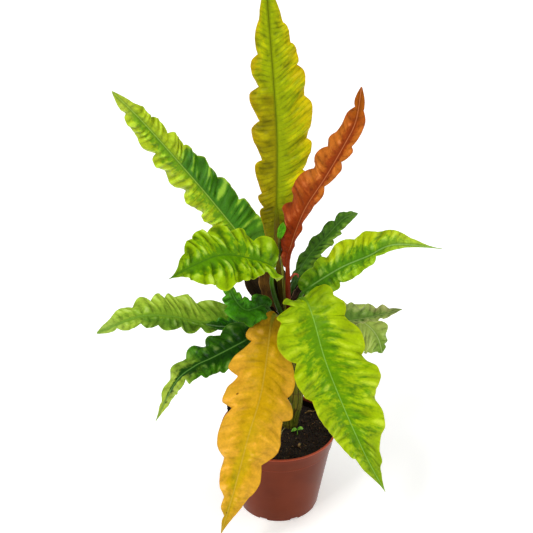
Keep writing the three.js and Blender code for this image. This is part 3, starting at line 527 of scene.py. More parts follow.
leaves = [
    {"node": "leaf_top", "slot": "leaf_olive_yellow", "phase": 1, "fold": 9, "sweep": -0.29, "tip": 1.29,
     "path": [[7, 7, 312], [-1, 16, 381], [-4, 30, 444], [-4, 48, 551], [-8, 62, 619], [-13, 78, 680],
              [-20, 100, 765]], "face": [[-0.1, -1, 0.2], [-0.1, -1, 0.2], [0.1, -1, 0.3]],
     "width": [34, 49], "widest": [0.42, 0.36], "base": [0.56, 0.4], "bend": [20, 23], "foot": 32,
     "stout": 1.5,
     "notches": [[0.06, 0.11, 0.225, 0.385, 0.525, 0.66, 0.8],
                 [0.1, 0.185, 0.3, 0.465, 0.595, 0.69, 0.775]],
     "cuts": [[0.32, 0.2, 0.36, 0.38, 0.36, 0.26, 0.12], [0.12, 0.2, 0.22, 0.17, 0.17, 0.13, 0.16]],
     "veinGap": 7, "quilt": 0.35, "pleat": 2.2, "swell": 1.6,
     "look": {
         "inner": "#93a406", "outer": "#b8b206", "edge": "#cc9c08", "tip": "#8fa404", "foot": "#5f5802",
         "light": "#c4c010", "dark": "#465602", "rib": "#5c6604", "stalk": "#5a4c10",
         "spread": [0.25, 1.1], "streak": 1.1, "fleck": 1.0, "lift": 0.3, "shadeShare": 0.35,
         "ribShare": 0.9, "ribWidth": 1.0,
         "patches": [
             {"side": -1, "span": [0, 0.5], "color": "#8c7c02", "share": 0.75},
             {"side": -1, "span": [0, 1.1], "out": [0.65, 1.05], "color": "#ae9402", "share": 0.7},
             {"side": 1, "span": [0.1, 0.95], "out": [0.7, 1.05], "color": "#ccb802", "share": 0.8}]}},
    {"node": "leaf_orange", "slot": "leaf_copper", "phase": 2, "fold": 21, "sweep": -0.25, "tip": 0.78,
     "path": [[12, 1, 312], [11, -8, 375], [12, -14, 417], [30, -26, 483], [57, -34, 535], [78, -36, 577],
              [92, -30, 607], [98, -22, 648]], "face": [[-0.8, -0.6, 0], [-0.6, -0.8, 0.2], [0, -1, 0.2]],
     "width": [29, 16], "widest": [0.29, 0.65], "base": [0.5, 0.36], "bend": [11, 3], "foot": 24,
     "stout": 1.1,
     "notches": [[0.14, 0.24, 0.465, 0.625, 0.715, 0.895], [0.09, 0.2, 0.45, 0.605, 0.695, 0.88]],
     "cuts": [[0.4, 0.18, 0.2, 0.24, 0.1, 0.55], [0.5, 0.46, 0.6, 0.5, 0.36, 0.26]], "quilt": 0.35,
     "pleat": 1.8, "swell": 1.8,
     "look": {
         "inner": "#983e10", "outer": "#a84e1a", "edge": "#a04c1c", "tip": "#a05808", "foot": "#8c2c0e",
         "light": "#d08c54", "dark": "#6c260a", "rib": "#c87848", "stalk": "#8a3010", "under": "#b85028",
         "footTo": 0.4, "ribWidth": 0.9, "lift": 0.45, "crestHighlightShare": 0.4, "troughShade": 0.5,
         "patches": [
             {"span": [0.4, 0.8], "out": [0.1, 0.6], "color": "#cf7c24", "share": 0.5}]}},
    {"node": "leaf_upper_left", "slot": "leaf_lime", "phase": 3, "fold": 10, "sweep": -0.18, "tip": 0.89,
     "path": [[9, 7, 305], [-16, 30, 347], [-38, 44, 392], [-88, 62, 455], [-137, 56, 522],
              [-183, 42, 586], [-214, 22, 629]],
     "face": [[-0.1, -1, 0.2], [-0.1, -1, -0.3], [0.2, -0.9, -0.3]], "width": [35, 42],
     "widest": [0.44, 0.16], "base": [0.53, 0.78], "bend": [39, 6], "stout": 1.25,
     "notches": [[0.1, 0.18, 0.24, 0.36, 0.49, 0.59, 0.73, 0.85],
                 [0.11, 0.19, 0.34, 0.49, 0.57, 0.66, 0.77, 0.85]],
     "cuts": [[0.11, 0.11, 0.16, 0.23, 0.03, 0.31, 0.03, 0.33],
              [0.09, 0.25, 0.26, 0.18, 0.28, 0.42, 0.35, 0.07]], "quilt": 0.9, "pleat": 1.3,
     "look": {
         "inner": "#6c9c06", "outer": "#a8be14", "edge": "#b0c620", "tip": "#b4c838", "foot": "#4e7c08",
         "light": "#a8c83c", "dark": "#3c6604", "rib": "#94b848", "stalk": "#5c7a1c", "ribWidth": 0.9,
         "shine": 0.12, "rough": 0.32, "spread": [0.05, 0.75], "streak": 1.5, "fleck": 1.2, "lift": 0.4,
         "troughShade": 0.28, "crestHighlightShare": 0.5, "blotch": 0.8,
         "patches": [
             {"side": 1, "span": [-0.1, 0.55], "color": "#3f7c0c", "share": 1.0, "blur": 0.02},
             {"side": 1, "span": [0.55, 1.1], "color": "#a4ba14", "share": 0.5}]}},
    {"node": "leaf_mid_left", "slot": "leaf_lime", "phase": 4, "joint": 3, "fold": 25, "sweep": -0.65,
     "tip": 1.88,
     "path": [[9, 3, 301], [-4, -13, 342], [-11, -30, 380], [-13, -48, 416], [-44, -70, 439],
              [-75, -92, 453], [-103, -116, 453], [-135, -146, 448]],
     "face": [[0.9, -0.1, 0.4], [0.5, -0.4, 0.7], [0.4, -0.5, 0.7]], "width": [60, 36],
     "widest": [0.53, 0.6], "base": [0.3, 0.87], "bend": [1, 3], "foot": 12,
     "notches": [[0.11, 0.27, 0.35, 0.65, 0.81], [0.16, 0.35, 0.53, 0.63, 0.75]],
     "cuts": [[0.5, 0.19, 0.12, 0.2, 0.2], [0.26, 0.1, 0.17, 0.12, 0.23]], "veinGap": 12, "quilt": 1.6,
     "pleat": 3.2,
     "look": {
         "inner": "#5c9206", "outer": "#93b804", "edge": "#b4cc14", "tip": "#6c9414", "foot": "#6c9a08",
         "light": "#ccdc6c", "dark": "#3c6a04", "rib": "#4a7a0c", "stalk": "#4c7a10",
         "spread": [0.15, 0.75], "ribWidth": 1.3, "streak": 1.5, "fleck": 1.5, "lift": 0.35, "troughShade": 0.5,
         "crestHighlightShare": 0.35, "ribShare": 0.9, "shadeShare": 0.2}},
    {"node": "leaf_low_left", "slot": "leaf_pale", "phase": 5, "fold": 16, "sweep": -0.09, "tip": 0.8,
     "path": [[12, 7, 289], [-19, 14, 313], [-50, 12, 304], [-105, -4, 307], [-148, -22, 326],
              [-189, -40, 336], [-244, -62, 323]],
     "face": [[0.1, -0.7, 0.7], [0.5, -0.5, 0.7], [0, -0.5, 0.9]], "width": [24, 34],
     "widest": [0.45, 0.26], "base": [0.12, 0.12], "bend": [14, 9], "tooth": 0.55,
     "notches": [[0.13, 0.255, 0.4, 0.565, 0.69, 0.86], [0.25, 0.46, 0.505, 0.6, 0.71, 0.9]],
     "cuts": [[0.5, 0.7, 0.46, 0.38, 0.46, 0.6], [0.2, 0.14, 0.24, 0.3, 0.28, 0.02]], "quilt": 0.9,
     "pleat": 1.4,
     "look": {
         "inner": "#84ac2c", "outer": "#a8c63c", "edge": "#9cbc34", "tip": "#a0bc54", "foot": "#3c6a0c",
         "light": "#c4d488", "dark": "#5a861a", "rib": "#6c9c34", "stalk": "#4e7418", "under": "#3c6c18",
         "footTo": 0.3, "lift": 0.3, "troughShade": 0.35, "streak": 1.4, "fleck": 1.2, "crestHighlightShare": 0.3,
         "patches": [
             {"side": -1, "span": [-0.1, 0.72], "out": [-0.1, 0.3], "color": "#356e16", "share": 0.7},
             {"side": -1, "span": [0.1, 0.5], "out": [0.75, 1.0], "color": "#9cc02c", "share": 0.6}]}},
    {"node": "leaf_bottom_left", "slot": "leaf_dark", "phase": 6, "fold": 13, "sweep": -0.27, "tip": 1.27,
     "path": [[14, 5, 274], [-16, -20, 310], [-41, -34, 299], [-88, -56, 283], [-115, -70, 276],
              [-140, -80, 257], [-169, -86, 199]],
     "face": [[-0.1, -0.5, 0.9], [-0.3, -0.3, 0.9], [-0.7, -0.6, 0.4]], "width": [34, 33],
     "widest": [0.17, 0.16], "base": [0.62, 0.9], "bend": [14, 19],
     "notches": [[0.1, 0.265, 0.41, 0.525, 0.66, 0.84], [0.14, 0.25, 0.43, 0.64, 0.84, 0.93]],
     "cuts": [[0.03, 0.25, 0.34, 0.6, 0.2, 0.1], [0.14, 0.18, 0.2, 0.22, 0.22, 0.1]], "veinGap": 11,
     "quilt": 0.6, "pleat": 2.0,
     "look": {
         "inner": "#184402", "outer": "#3f780a", "edge": "#6a9c28", "tip": "#b0c034", "foot": "#123c00",
         "light": "#9cb85c", "dark": "#225006", "rib": "#6c9c44", "stalk": "#3c6410", "footTo": 0.45,
         "shine": 0.08, "rough": 0.33, "lift": 0.35, "troughShade": 0.4, "crestHighlightShare": 0.3, "streak": 1.3,
         "patches": [
             {"span": [0.5, 1.1], "out": [0.05, 0.4], "color": "#a8c03c", "share": 0.85, "blur": 0.14}]}},
    {"node": "leaf_yellow", "slot": "leaf_golden", "phase": 7, "joint": 3, "fold": 3, "sweep": -0.36,
     "tip": 1.28,
     "path": [[15, 3, 280], [9, -24, 313], [-3, -47, 339], [-11, -64, 342], [-24, -118, 272],
              [-42, -142, 213], [-61, -156, 137], [-80, -160, 65]],
     "face": [[0, -0.7, 0.7], [0.1, -1, 0.2], [-0.3, -0.9, 0.1]], "width": [50, 51], "widest": [0.35, 0.2],
     "base": [0.21, 0.2], "bend": [29, 30], "foot": 16, "tooth": 0.62,
     "notches": [[0.08, 0.26, 0.35, 0.595, 0.8, 0.9], [0.09, 0.2, 0.355, 0.6, 0.8, 0.9]],
     "cuts": [[0.2, 0.24, 0.24, 0.24, 0.03, 0.02], [0.42, 0.3, 0.32, 0.24, 0.3, 0.6]], "veinGap": 12,
     "quilt": 0.35, "pleat": 1.5, "swell": 2.8,
     "look": {
         "inner": "#c89c06", "outer": "#dca42a", "edge": "#c8901c", "tip": "#a88a0c", "foot": "#9c7408",
         "light": "#e0a868", "dark": "#a47c04", "rib": "#c4a238", "stalk": "#7c7a1c", "spot": "#6c3c08",
         "spots": [[0.3, 0.61, 0.006, 0.04], [0.88, 0.1, 0.008, 0.12]], "ribWidth": 1.0, "lift": 0.35,
         "troughShade": 0.32, "streak": 1.3, "fleck": 0.3, "dirt": 0.008, "crestHighlightShare": 0.42, "veinShare": 0.05,
         "veinRise": 0.15, "shadeShare": 0.2,
         "patches": [
             {"span": [0.45, 0.92], "out": [0.5, 0.05], "color": "#c8b00a", "share": 0.4},
             {"side": 1, "span": [0.62, 1.0], "out": [0.3, 0.02], "color": "#8c8c06", "share": 0.6}]}},
    {"node": "leaf_front_right", "slot": "leaf_lime", "phase": 8, "fold": 20, "sweep": -0.45, "tip": 1.44,
     "path": [[14, 5, 292], [22, -32, 352], [33, -53, 369], [43, -76, 354], [58, -112, 311],
              [86, -134, 244], [115, -142, 178], [142, -142, 123]],
     "face": [[-0.3, 0, 1], [0.4, -0.8, 0.4], [0.5, -0.9, 0.2]], "width": [62, 60], "widest": [0.32, 0.15],
     "base": [0.45, 0.3], "bend": [27, 1], "foot": 9, "tooth": 0.5,
     "notches": [[0.055, 0.115, 0.245, 0.49, 0.78, 0.88], [0.045, 0.095, 0.22, 0.37, 0.6, 0.72]],
     "cuts": [[0.12, 0.16, 0.16, 0.12, 0.05, 0.03], [0.56, 0.16, 0.31, 0.22, 0.06, 0.2]], "veinGap": 12,
     "quilt": 0.5, "pleat": 1.4, "swell": 1.8,
     "look": {
         "inner": "#629402", "outer": "#a0bc06", "edge": "#bcc414", "tip": "#76980a", "foot": "#88a808",
         "light": "#ccd44c", "dark": "#4f8204", "rib": "#8cbc4c", "stalk": "#5c8418", "spread": [0.0, 0.8],
         "streak": 2.0, "ribWidth": 1.0, "blotch": 1.0, "fleck": 1.6, "shadeShare": 0.25,
         "crestHighlightShare": 0.35, "troughShade": 0.35, "tipFrom": 0.6}},
    {"node": "leaf_upper_right", "slot": "leaf_green", "phase": 9, "fold": 16, "sweep": -0.28, "tip": 2.03,
     "path": [[14, 4, 296], [27, 0, 340], [37, -8, 361], [80, -22, 400], [114, -34, 423], [148, -44, 445],
              [206, -60, 447]], "face": [[-0.5, -0.9, 0.1], [-0.6, -0.6, 0.5], [-0.2, -0.7, 0.7]],
     "width": [32, 24], "widest": [0.44, 0.15], "base": [0.45, 0.61], "bend": [11, 14],
     "notches": [[0.11, 0.2, 0.4, 0.59, 0.79], [0.09, 0.21, 0.38, 0.54, 0.79]],
     "cuts": [[0.15, 0.19, 0.11, 0.08, 0.1], [0.03, 0.31, 0.03, 0.6, 0.03]], "veinGap": 11, "pleat": 1.8,
     "look": {
         "inner": "#548c12", "outer": "#94bc14", "edge": "#a0c020", "tip": "#b2cc44", "foot": "#34680a",
         "light": "#b4c868", "dark": "#3c6c0c", "rib": "#86b058", "stalk": "#44701a", "footTo": 0.3,
         "tipFrom": 0.55, "lift": 0.3, "troughShade": 0.35, "crestHighlightShare": 0.3, "streak": 1.4, "fleck": 1.2,
         "patches": [
             {"side": -1, "span": [0.2, 1.0], "out": [0.45, 0.8], "color": "#b4c60c", "share": 0.85}]}},
    {"node": "leaf_narrow_right", "slot": "leaf_dark", "phase": 10, "fold": 12, "sweep": -0.23,
     "tip": 0.81,
     "path": [[12, 7, 296], [15, 26, 330], [22, 40, 348], [40, 60, 375], [67, 84, 396], [93, 104, 416],
              [115, 128, 414]], "face": [[-0.6, -0.5, 0.7], [-0.3, -0.4, 0.9], [0.5, -0.4, 0.8]],
     "width": [15, 20], "widest": [0.49, 0.26], "base": [0.42, 0.6], "bend": [13, 21], "foot": 16,
     "notches": [[0.1, 0.29, 0.49, 0.68, 0.85], [0.13, 0.3, 0.51, 0.63, 0.86]],
     "cuts": [[0.19, 0.09, 0.09, 0.46, 0.09], [0.08, 0.31, 0.39, 0.35, 0.08]], "quilt": 1.2,
     "look": {
         "inner": "#3c6a0c", "outer": "#487612", "edge": "#7ca030", "tip": "#6c9624", "foot": "#2c5410",
         "light": "#7c9c44", "dark": "#2a500a", "rib": "#54802c", "stalk": "#3a601a", "shine": 0.14,
         "rough": 0.33, "lift": 0.35, "troughShade": 0.5,
         "patches": [
             {"side": 1, "span": [0.2, 0.75], "out": [0.5, 0.8], "color": "#7a9e2c", "share": 0.7}]}},
    {"node": "leaf_back_right", "slot": "leaf_pale", "phase": 11, "fold": 17, "sweep": -0.25, "tip": 1.15,
     "path": [[15, 7, 282], [32, 28, 305], [68, 44, 286], [96, 50, 278], [121, 54, 279], [147, 56, 284],
              [179, 58, 293]], "face": [[0.4, -0.2, 0.9], [-0.1, -0.1, 1], [-0.2, -0.4, 0.9]],
     "width": [33, 17], "widest": [0.2, 0.46], "base": [0.52, 0.5], "bend": [17, 4],
     "notches": [[0.19, 0.42, 0.64, 0.82], [0.28, 0.42, 0.6, 0.72]],
     "cuts": [[0.03, 0.2, 0.11, 0.17], [0.13, 0.13, 0.06, 0.16]],
     "look": {
         "inner": "#84ac48", "outer": "#b4c668", "edge": "#a0ac58", "tip": "#98a85c", "foot": "#2c5c08",
         "light": "#ccc89c", "dark": "#3c661c", "rib": "#a4b86c", "stalk": "#5c7c2c", "footTo": 0.55,
         "lift": 0.3,
         "patches": [
             {"side": -1, "span": [0.6, 1.0], "out": [0.3, 0.7], "color": "#bcb47c", "share": 0.5},
             {"side": 1, "span": [0.3, 0.6], "out": [0.5, 0.9], "color": "#b8b47c", "share": 0.3}]}},
    {"node": "leaf_back_right_low", "slot": "leaf_pale", "phase": 12, "fold": 8, "sweep": -0.25,
     "tip": 0.82,
     "path": [[17, 8, 266], [39, 46, 292], [75, 70, 282], [109, 86, 264], [135, 94, 244], [151, 97, 221],
              [159, 98, 194]], "face": [[0.4, -0.1, 0.9], [0.6, -0.5, 0.6], [0.5, -0.8, 0.1]],
     "width": [33, 46], "widest": [0.46, 0.37], "base": [0.6, 0.67], "bend": [19, 27],
     "notches": [[0.26, 0.59, 0.82, 0.9], [0.24, 0.48, 0.72, 0.95]],
     "cuts": [[0.12, 0.48, 0.03, 0.33], [0.13, 0.13, 0.12, 0.27]], "quilt": 0.4,
     "look": {
         "inner": "#9cb44c", "outer": "#b0c25c", "edge": "#a8bc58", "tip": "#5c8c18", "foot": "#567a28",
         "light": "#c0cc84", "dark": "#5c8024", "rib": "#a8bc70", "stalk": "#5c7c2c", "tipFrom": 0.6,
         "veinShare": 0.06}},
    {"node": "leaf_dark_left", "slot": "leaf_dark", "phase": 13, "fold": 16, "sweep": -0.2, "tip": 1.9,
     "path": [[9, 3, 293], [-11, -31, 336], [-21, -40, 353], [-35, -49, 353], [-46, -53, 354],
              [-57, -46, 361], [-66, -34, 374], [-77, -22, 399]],
     "face": [[0.2, -0.6, 0.8], [-0.1, -0.8, 0.6], [-0.1, -0.9, 0.4]], "width": [23, 17],
     "widest": [0.25, 0.15], "base": [0.8, 0.9], "bend": [22, 10],
     "notches": [[0.12, 0.27, 0.45, 0.6, 0.76], [0.12, 0.26, 0.42, 0.58, 0.76]],
     "cuts": [[0.2, 0.32, 0.42, 0.3, 0.2], [0.3, 0.36, 0.3, 0.3, 0.25]], "quilt": 1.1, "pleat": 2.4,
     "look": {
         "inner": "#34740a", "outer": "#46900c", "edge": "#6c9c18", "tip": "#6ca018", "foot": "#1c4a04",
         "light": "#5c943c", "dark": "#183e02", "rib": "#4c8428", "stalk": "#345c14", "shine": 0.12,
         "rough": 0.3, "lift": 0.5, "troughShade": 0.5, "tipFrom": 0.5, "crestHighlightShare": 0.35,
         "patches": [
             {"side": 1, "span": [0.3, 0.75], "out": [0.4, 0.8], "color": "#5c9410", "share": 0.8}]}},
    {"node": "leaf_dark_low", "slot": "leaf_dark", "phase": 14, "fold": 12, "sweep": -0.1, "tip": 0.9,
     "path": [[12, 6, 282], [-10, 0, 301], [-30, -4, 302], [-48, -7, 303], [-65, -8, 302], [-84, -14, 306],
              [-101, -19, 312]], "face": [[0, -0.6, 0.8], [0, -0.6, 0.8], [-0.1, -0.6, 0.8]],
     "width": [9, 17], "widest": [0.3, 0.35], "base": [0.7, 0.8], "bend": [12, 22],
     "notches": [[0.3, 0.55, 0.8], [0.25, 0.5, 0.74]], "cuts": [[0.2, 0.25, 0.2], [0.25, 0.35, 0.3]],
     "look": {
         "inner": "#184a02", "outer": "#246004", "edge": "#5c9418", "tip": "#4c7c20", "foot": "#143a04",
         "light": "#6c9a5c", "dark": "#123202", "rib": "#6c8c5c", "stalk": "#2c5410", "shine": 0.12,
         "rough": 0.3, "lift": 0.5, "troughShade": 0.5,
         "patches": [
             {"side": 1, "span": [0.45, 0.9], "out": [0.5, 0.9], "color": "#4c9010", "share": 0.8}]}},
    {"node": "leaf_young", "slot": "leaf_green", "phase": 15, "solid": False, "fold": 20, "sweep": 0,
     "tip": 0.8, "path": [[3, 4, 393], [0, -6, 419], [-1, -10, 438], [1, -14, 452], [4, -16, 464]],
     "face": [[-0.2, -1, 0.2], [-0.2, -1, 0.2], [-0.1, -1, 0.3]], "width": [4, 6], "widest": [0.5, 0.6],
     "base": [0.4, 0.4], "bend": [20, 20], "stout": 0.7, "notches": [[0.3, 0.65], [0.35, 0.7]],
     "cuts": [[0.05, 0.05], [0.05, 0.05]], "pleat": 0.5,
     "look": {
         "inner": "#4c9a10", "outer": "#62b018", "edge": "#7cac1c", "tip": "#6ca818", "foot": "#4c5c0c",
         "light": "#7cb420", "dark": "#3c6c08", "rib": "#5c9418", "stalk": "#5c5a1c"}},
]

for leaf in leaves:
    makeBlade(leaf, "_blade", leafFinish)


# dried sheaths round the crown

sheath = {
    "width": [10, 10], "widest": [0.3, 0.3], "base": [0.6, 0.6], "tip": 1.2, "fold": 28, "bend": [30, 30],
    "sweep": 0, "notches": [[0.35, 0.7], [0.35, 0.7]], "cuts": [[0.15, 0.2], [0.2, 0.12]],
    "joint": 1, "slot": "dry_sheath", "swell": 1.4, "quilt": 0.1, "stout": 0.5,
}
sheaths = [
    {**sheath, "node": "sheath_left", "phase": 1, "dark": "#38220c", "pale": "#74501e", "fleck": "#b88c54",
     "path": [[9, 4, 303], [-9, 3, 331], [-20, 8, 357], [-27, 13, 385]], "width": [8, 15],
     "widest": [0.3, 0.7], "tip": 0.8,
     "face": [[-0.3, -0.9, 0.3]]},
    {**sheath, "node": "sheath_dark", "phase": 2, "dark": "#140e06", "pale": "#30220e", "fleck": "#6c4c1c",
     "path": [[12, 8, 294], [-8, 9, 319], [-26, 18, 338], [-44, 26, 362], [-56, 30, 380]],
     "width": [13, 17],
     "face": [[0, -1, 0.3], [0, -1, 0.3], [0.2, -1, 0.3]]},
    {**sheath, "node": "sheath_right", "phase": 3, "dark": "#180e08", "pale": "#4a3220", "fleck": "#a08464",
     "path": [[12, 6, 304], [20, 13, 328], [31, 19, 346], [39, 22, 364]],
     "face": [[0.2, -1, 0.2]]},
    {**sheath, "node": "sheath_inner", "phase": 4, "dark": "#2c2208", "pale": "#5a4a14", "fleck": "#7c5c28",
     "path": [[10, 10, 296], [7, 15, 322], [4, 17, 350], [1, 18, 382]], "width": [19, 11], "solid": False,
     "widest": [0.6, 0.5], "tip": 0.7,
     "face": [[0, -1, 0.2]]},
    {**sheath, "node": "sheath_low", "phase": 5, "dark": "#0e0904", "pale": "#241808", "fleck": "#3c2a14",
     "path": [[14, 8, 292], [19, 14, 312], [23, 18, 334], [26, 20, 356]], "width": [9, 9], "solid": False,
     "face": [[0, -1, 0.2]]},
]


def sheathFinish(strap):
    # papery brown with fine lengthwise fibres and a paler torn edge
    made = Finish(strap["node"] + "_finish", strap["dark"])
    across, along = made.attribute("across"), made.attribute("along")
    fibre = made.noise(made.point(across * 9, along * 1.5, strap["phase"]), 3, 3)
    patch = made.noise(made.place, 60, 3)
    made.cover(strap["pale"], (fibre * 0.6 + patch * 0.4).ease(0.4, 0.62))
    made.cover(strap["fleck"], (across.size() + (patch - 0.5) * 0.3).ease(0.88, 1.0) * 0.8)
    return made.done(0.62 + patch * 0.3, fibre, depth=0.0006, strength=0.8, Specular_IOR_Level=0.1)


for strap in sheaths:
    makeBlade(strap, "_husk", sheathFinish)


# loose stalks: the red curl on the copper leaf's stalk, an old pale petiole beside it

looseStalks = [
    {"name": "copper_curl", "slot": "leaf_copper", "radius": [1.6, 1.5, 0.9],
     "dark": "#8c2c16", "pale": "#c0583a",
     "path": [[13, -6, 373], [16, -8, 380], [20, -8, 384], [24, -6, 382], [25, -3, 377]]},
    {"name": "old_petiole", "slot": "leaf_olive_yellow", "radius": [3.4, 3.0, 2.4, 1.6, 0.8],
     "dark": "#4c4410", "pale": "#8a8a28",
     "path": [[9, 0, 318], [8, -3, 340], [6, -5, 366], [3, -5, 396], [-1, -3, 420]]},
]


def addBar(bar, centre, radii, sides, stretch, roughness, depth, shine):
    # a tube in two colours, its grain drawn out upwards where stretch is below 1
    points, quads, ends = tube(centre, radii, sides)
    made = Finish(bar["name"] + "_finish", bar["dark"])
    x, y, z = made.split()
    grain = made.noise(made.point(x, y, z * stretch), 500, 3)
    made.cover(bar["pale"], grain.ease(0.38, 0.62))
    finish = made.done(roughness, grain, depth, Specular_IOR_Level=shine)
    addPiece(bar["name"], points, [quads, ends], finish)


for stalk in looseStalks:
    at, _, _ = measuredPath(stalk["path"])
    t = np.linspace(0, 1, 40)
    radii = np.interp(t, np.linspace(0, 1, len(stalk["radius"])), stalk["radius"])
    addBar(stalk, at(t), radii, 12, 0.1, 0.45, 0.0004, 0.2)
print("loose stalks made")


# the pot

pot = {
    "height": 131, "rim": 85, "base": 59.5, "wall": 1.8, "collar": 25, "step": 1.4, "floor": 2, "foot": 3,
    "footWidth": 4, "slots": 8, "slotWidth": 12, "pad": 16, "around": 288,
    "undersideRows": 60, "insideRows": 55,   # of points in the profile
    "color": "#733018", "dark": "#672a15", "highlight": "#b8543c", "dust": "#a87462", "grime": "#160e08",
    "shine": 0.05, "coat": 0.5,
}


def arc(middle, radius, first, last, steps):
    # points of a circle from the first to the last angle, in degrees
    turns = np.radians(np.linspace(first, last, steps))
    return np.stack([middle[0] + radius * np.cos(turns), middle[1] + radius * np.sin(turns)], -1)


def potProfile():
    # radius and height from the middle of the underside, up the outside, over the lip, down the
    # inside to the middle of the floor, with a round at every corner
    def body(z):
        return blend(pot["base"], pot["rim"] - pot["step"] - 1.5, z / pot["height"])
    step = pot["height"] - pot["collar"]
    collar = body(step) + pot["step"]
    inner = pot["base"] - pot["footWidth"]
    floor = pot["foot"] + pot["floor"]
    pad, foot, rim, height, wall = [pot[key] for key in ["pad", "foot", "rim", "height", "wall"]]
    line = np.linspace
    return np.concatenate([
        line((0, 0), (pad - 0.5, 0), 4), arc((pad - 0.6, 0.6), 0.6, -80, 0, 4),
        line((pad, 1.5), (pad + 0.2, foot), 2), line((pad + 1, foot), (inner - 1, foot), 14),
        line((inner, foot - 0.5), (inner, 0.5), 4), arc((inner + 0.5, 0.5), 0.5, 190, 270, 4),
        line((inner + 1.4, 0), (pot["base"] - 0.9, 0), 4), arc((pot["base"] - 0.8, 0.8), 0.8, -80, 0, 5),
        line((body(1.6), 1.6), (body(4.5), 4.5), 4), line((body(6), 6), (body(step - 2), step - 2), 46),
        arc((body(step - 1) + 0.55, step - 1.1), 0.55, 180, 100, 4),
        arc((collar - 0.6, step + 0.1), 0.6, -70, 0, 4),
        line((collar + 0.05, step + 1.5), (rim - 1.5, height - 4.2), 16),
        arc((rim - 1.3, height - 3.6), 0.25, 180, 110, 3),
        arc((rim - 1.6, height - 1.6), 1.6, -60, 180, 14),
        line((rim - 3.3, height - 3), (collar - wall, step + 1.4), 14),
        line((body(step - 2) - wall, step - 2.4), (body(9) - wall, 9), 30),
        arc((body(7) - wall - 1.4, floor + 1.4), 1.4, 0, -90, 5), line((40, floor), (0, floor), 8)])


def potShape():
    # the profile turned about the upright axis; between the feet the low ring is lifted
    profile = potProfile()
    turns = roundTurns(pot["around"])
    radius = profile[1:-1, 0][:, None] + 0 * turns
    z = profile[1:-1, 1][:, None] + 0 * turns
    row = np.arange(len(radius))
    slotTurn = 2 * math.pi / pot["slots"]
    fromSlot = np.abs(turns / slotTurn % 1 - 0.5) * slotTurn * pot["base"]
    slot = 1 - smoothStep(fromSlot, pot["slotWidth"] / 2 - 0.8, pot["slotWidth"] / 2 + 0.4)
    low = (radius > pot["base"] - pot["footWidth"] - 0.6) & (z < pot["foot"])
    low = low & (row < pot["undersideRows"])[:, None]
    z = np.where(low, np.maximum(z, z * 0.2 + slot * (pot["foot"] - 0.6)), z)
    # a moulded pot is never quite round
    radius = radius + 0.18 * np.sin(3 * turns + 1) * smoothStep(z, 20, 120)
    ring = np.stack([radius * np.cos(turns), radius * np.sin(turns), z], -1)
    points, quads, ends = closedRings(ring, [0, 0, profile[0, 1]], [0, 0, profile[-1, 1]])
    inside = (row > len(row) - pot["insideRows"]) & (profile[1:-1, 1] < pot["height"] - 1.2)
    return points, [quads, ends], {"inside": np.append(np.repeat(inside, pot["around"]), [0, 1])}


def potFinish():
    # satin plastic: slightly mottled, fine scuffs round it, painted highlight on the lip, ledge and upper
    # collar, dust near the foot and nearly black inside
    made = Finish("pot_plastic_finish", pot["dark"])
    x, y, z = made.split()
    broad = made.noise(made.place, 18, 2)
    fine = made.noise(made.place, 700, 3)
    scuff = made.noise(made.point(x * 40, y * 40, z * 900), 1, 3)
    made.cover(pot["color"], broad.ease(0.3, 0.7))
    # a painted highlight along the top of the lip
    made.cover(pot["highlight"], z.ease(0.1278, 0.1298) * 0.9)
    # a painted highlight along the ledge, and the upper collar painted lighter against the shade under the
    # lip
    ledgeHighlight = (z - (pot["height"] - pot["collar"] + 0.5) * millimetre).size().ease(0.0009, 0.0003)
    made.cover(pot["highlight"], ledgeHighlight * 0.18 + z.ease(0.119, 0.1262) * 0.1)
    made.cover(pot["dust"], scuff.ease(0.6, 0.75) * 0.06 + z.ease(0.03, 0.0) * broad * 0.12)
    # nearly black on the inside of the pot
    inside = made.attribute("inside")
    made.cover(pot["grime"], (inside + (broad - 0.5) * 0.6).ease(0.4, 0.7))
    roughness = 0.4 + (broad - 0.5) * 0.1 + (scuff - 0.5) * 0.1
    gloss = {"Specular_IOR_Level": pot["shine"], "Coat_Weight": pot["coat"], "Coat_Roughness": 0.22,
             "Coat_IOR": 1.16}
    return made.done(roughness, fine * 0.4 + scuff * 0.6, depth=0.00012, strength=0.4, **gloss)


points, faces, marks = potShape()
addPiece("nursery_pot", points, faces, potFinish(), ["pot"], marks, creaseAngle=40)
print("pot made:", len(points), "points")


# the soil

soil = {
    "top": 118, "sunk": 1.4, "mound": 2.5, "radius": 79.3, "rings": 96, "around": 330,
    "side": [[0.998, 108.5], [0.965, 103.5], [0.735, 7], [0.3, 7]],   # share of the radius, height
    "crumbs": 1900, "crumbSize": [0.5, 1.9], "fibres": 70, "fibre": ["#4a3018", "#8c7048"], "seed": 5,
    "dark": "#0c0705", "mid": "#2a1a11", "rust": "#54331c", "pale": "#8c6e4a",
}


def soilHeight(x, y):
    # a low mound with slow waves and clumps in two sizes, their tops rounded, level at the pot's wall
    flat = np.stack([x, y], -1)
    share = np.hypot(x, y) / soil["radius"]
    clumps = 1.2 * softNoise(flat, 26, 21, 2)
    for rise, size, seed in [(1.1, 11, 22), (0.8, 5, 23)]:
        clumps = clumps + rise * np.abs(softNoise(flat, size, seed, 2))
    mound = soil["top"] + soil["mound"] * (1 - share ** 2) - soil["sunk"]
    return mound + clumps * (1 - smoothStep(share, 0.955, 1.0))


def soilShape():
    # a polar grid: the rough top, the side down inside the pot and the flat underside
    turns = roundTurns(soil["around"])
    share = np.linspace(0, 1, soil["rings"])[1:] ** 0.75
    side = np.array(soil["side"])
    radius = soil["radius"] * np.append(share, side[:, 0])[:, None] + 0 * turns
    x, y = radius * np.cos(turns), radius * np.sin(turns)
    z = np.concatenate([soilHeight(x, y)[:len(share)], side[:, 1:] + 0 * turns])
    points, quads, ends = closedRings(np.stack([x, y, z], -1), [0, 0, soil["top"] + 1], [0, 0, side[-1, 1]])
    return points, [quads[:, ::-1], ends[:, ::-1]]


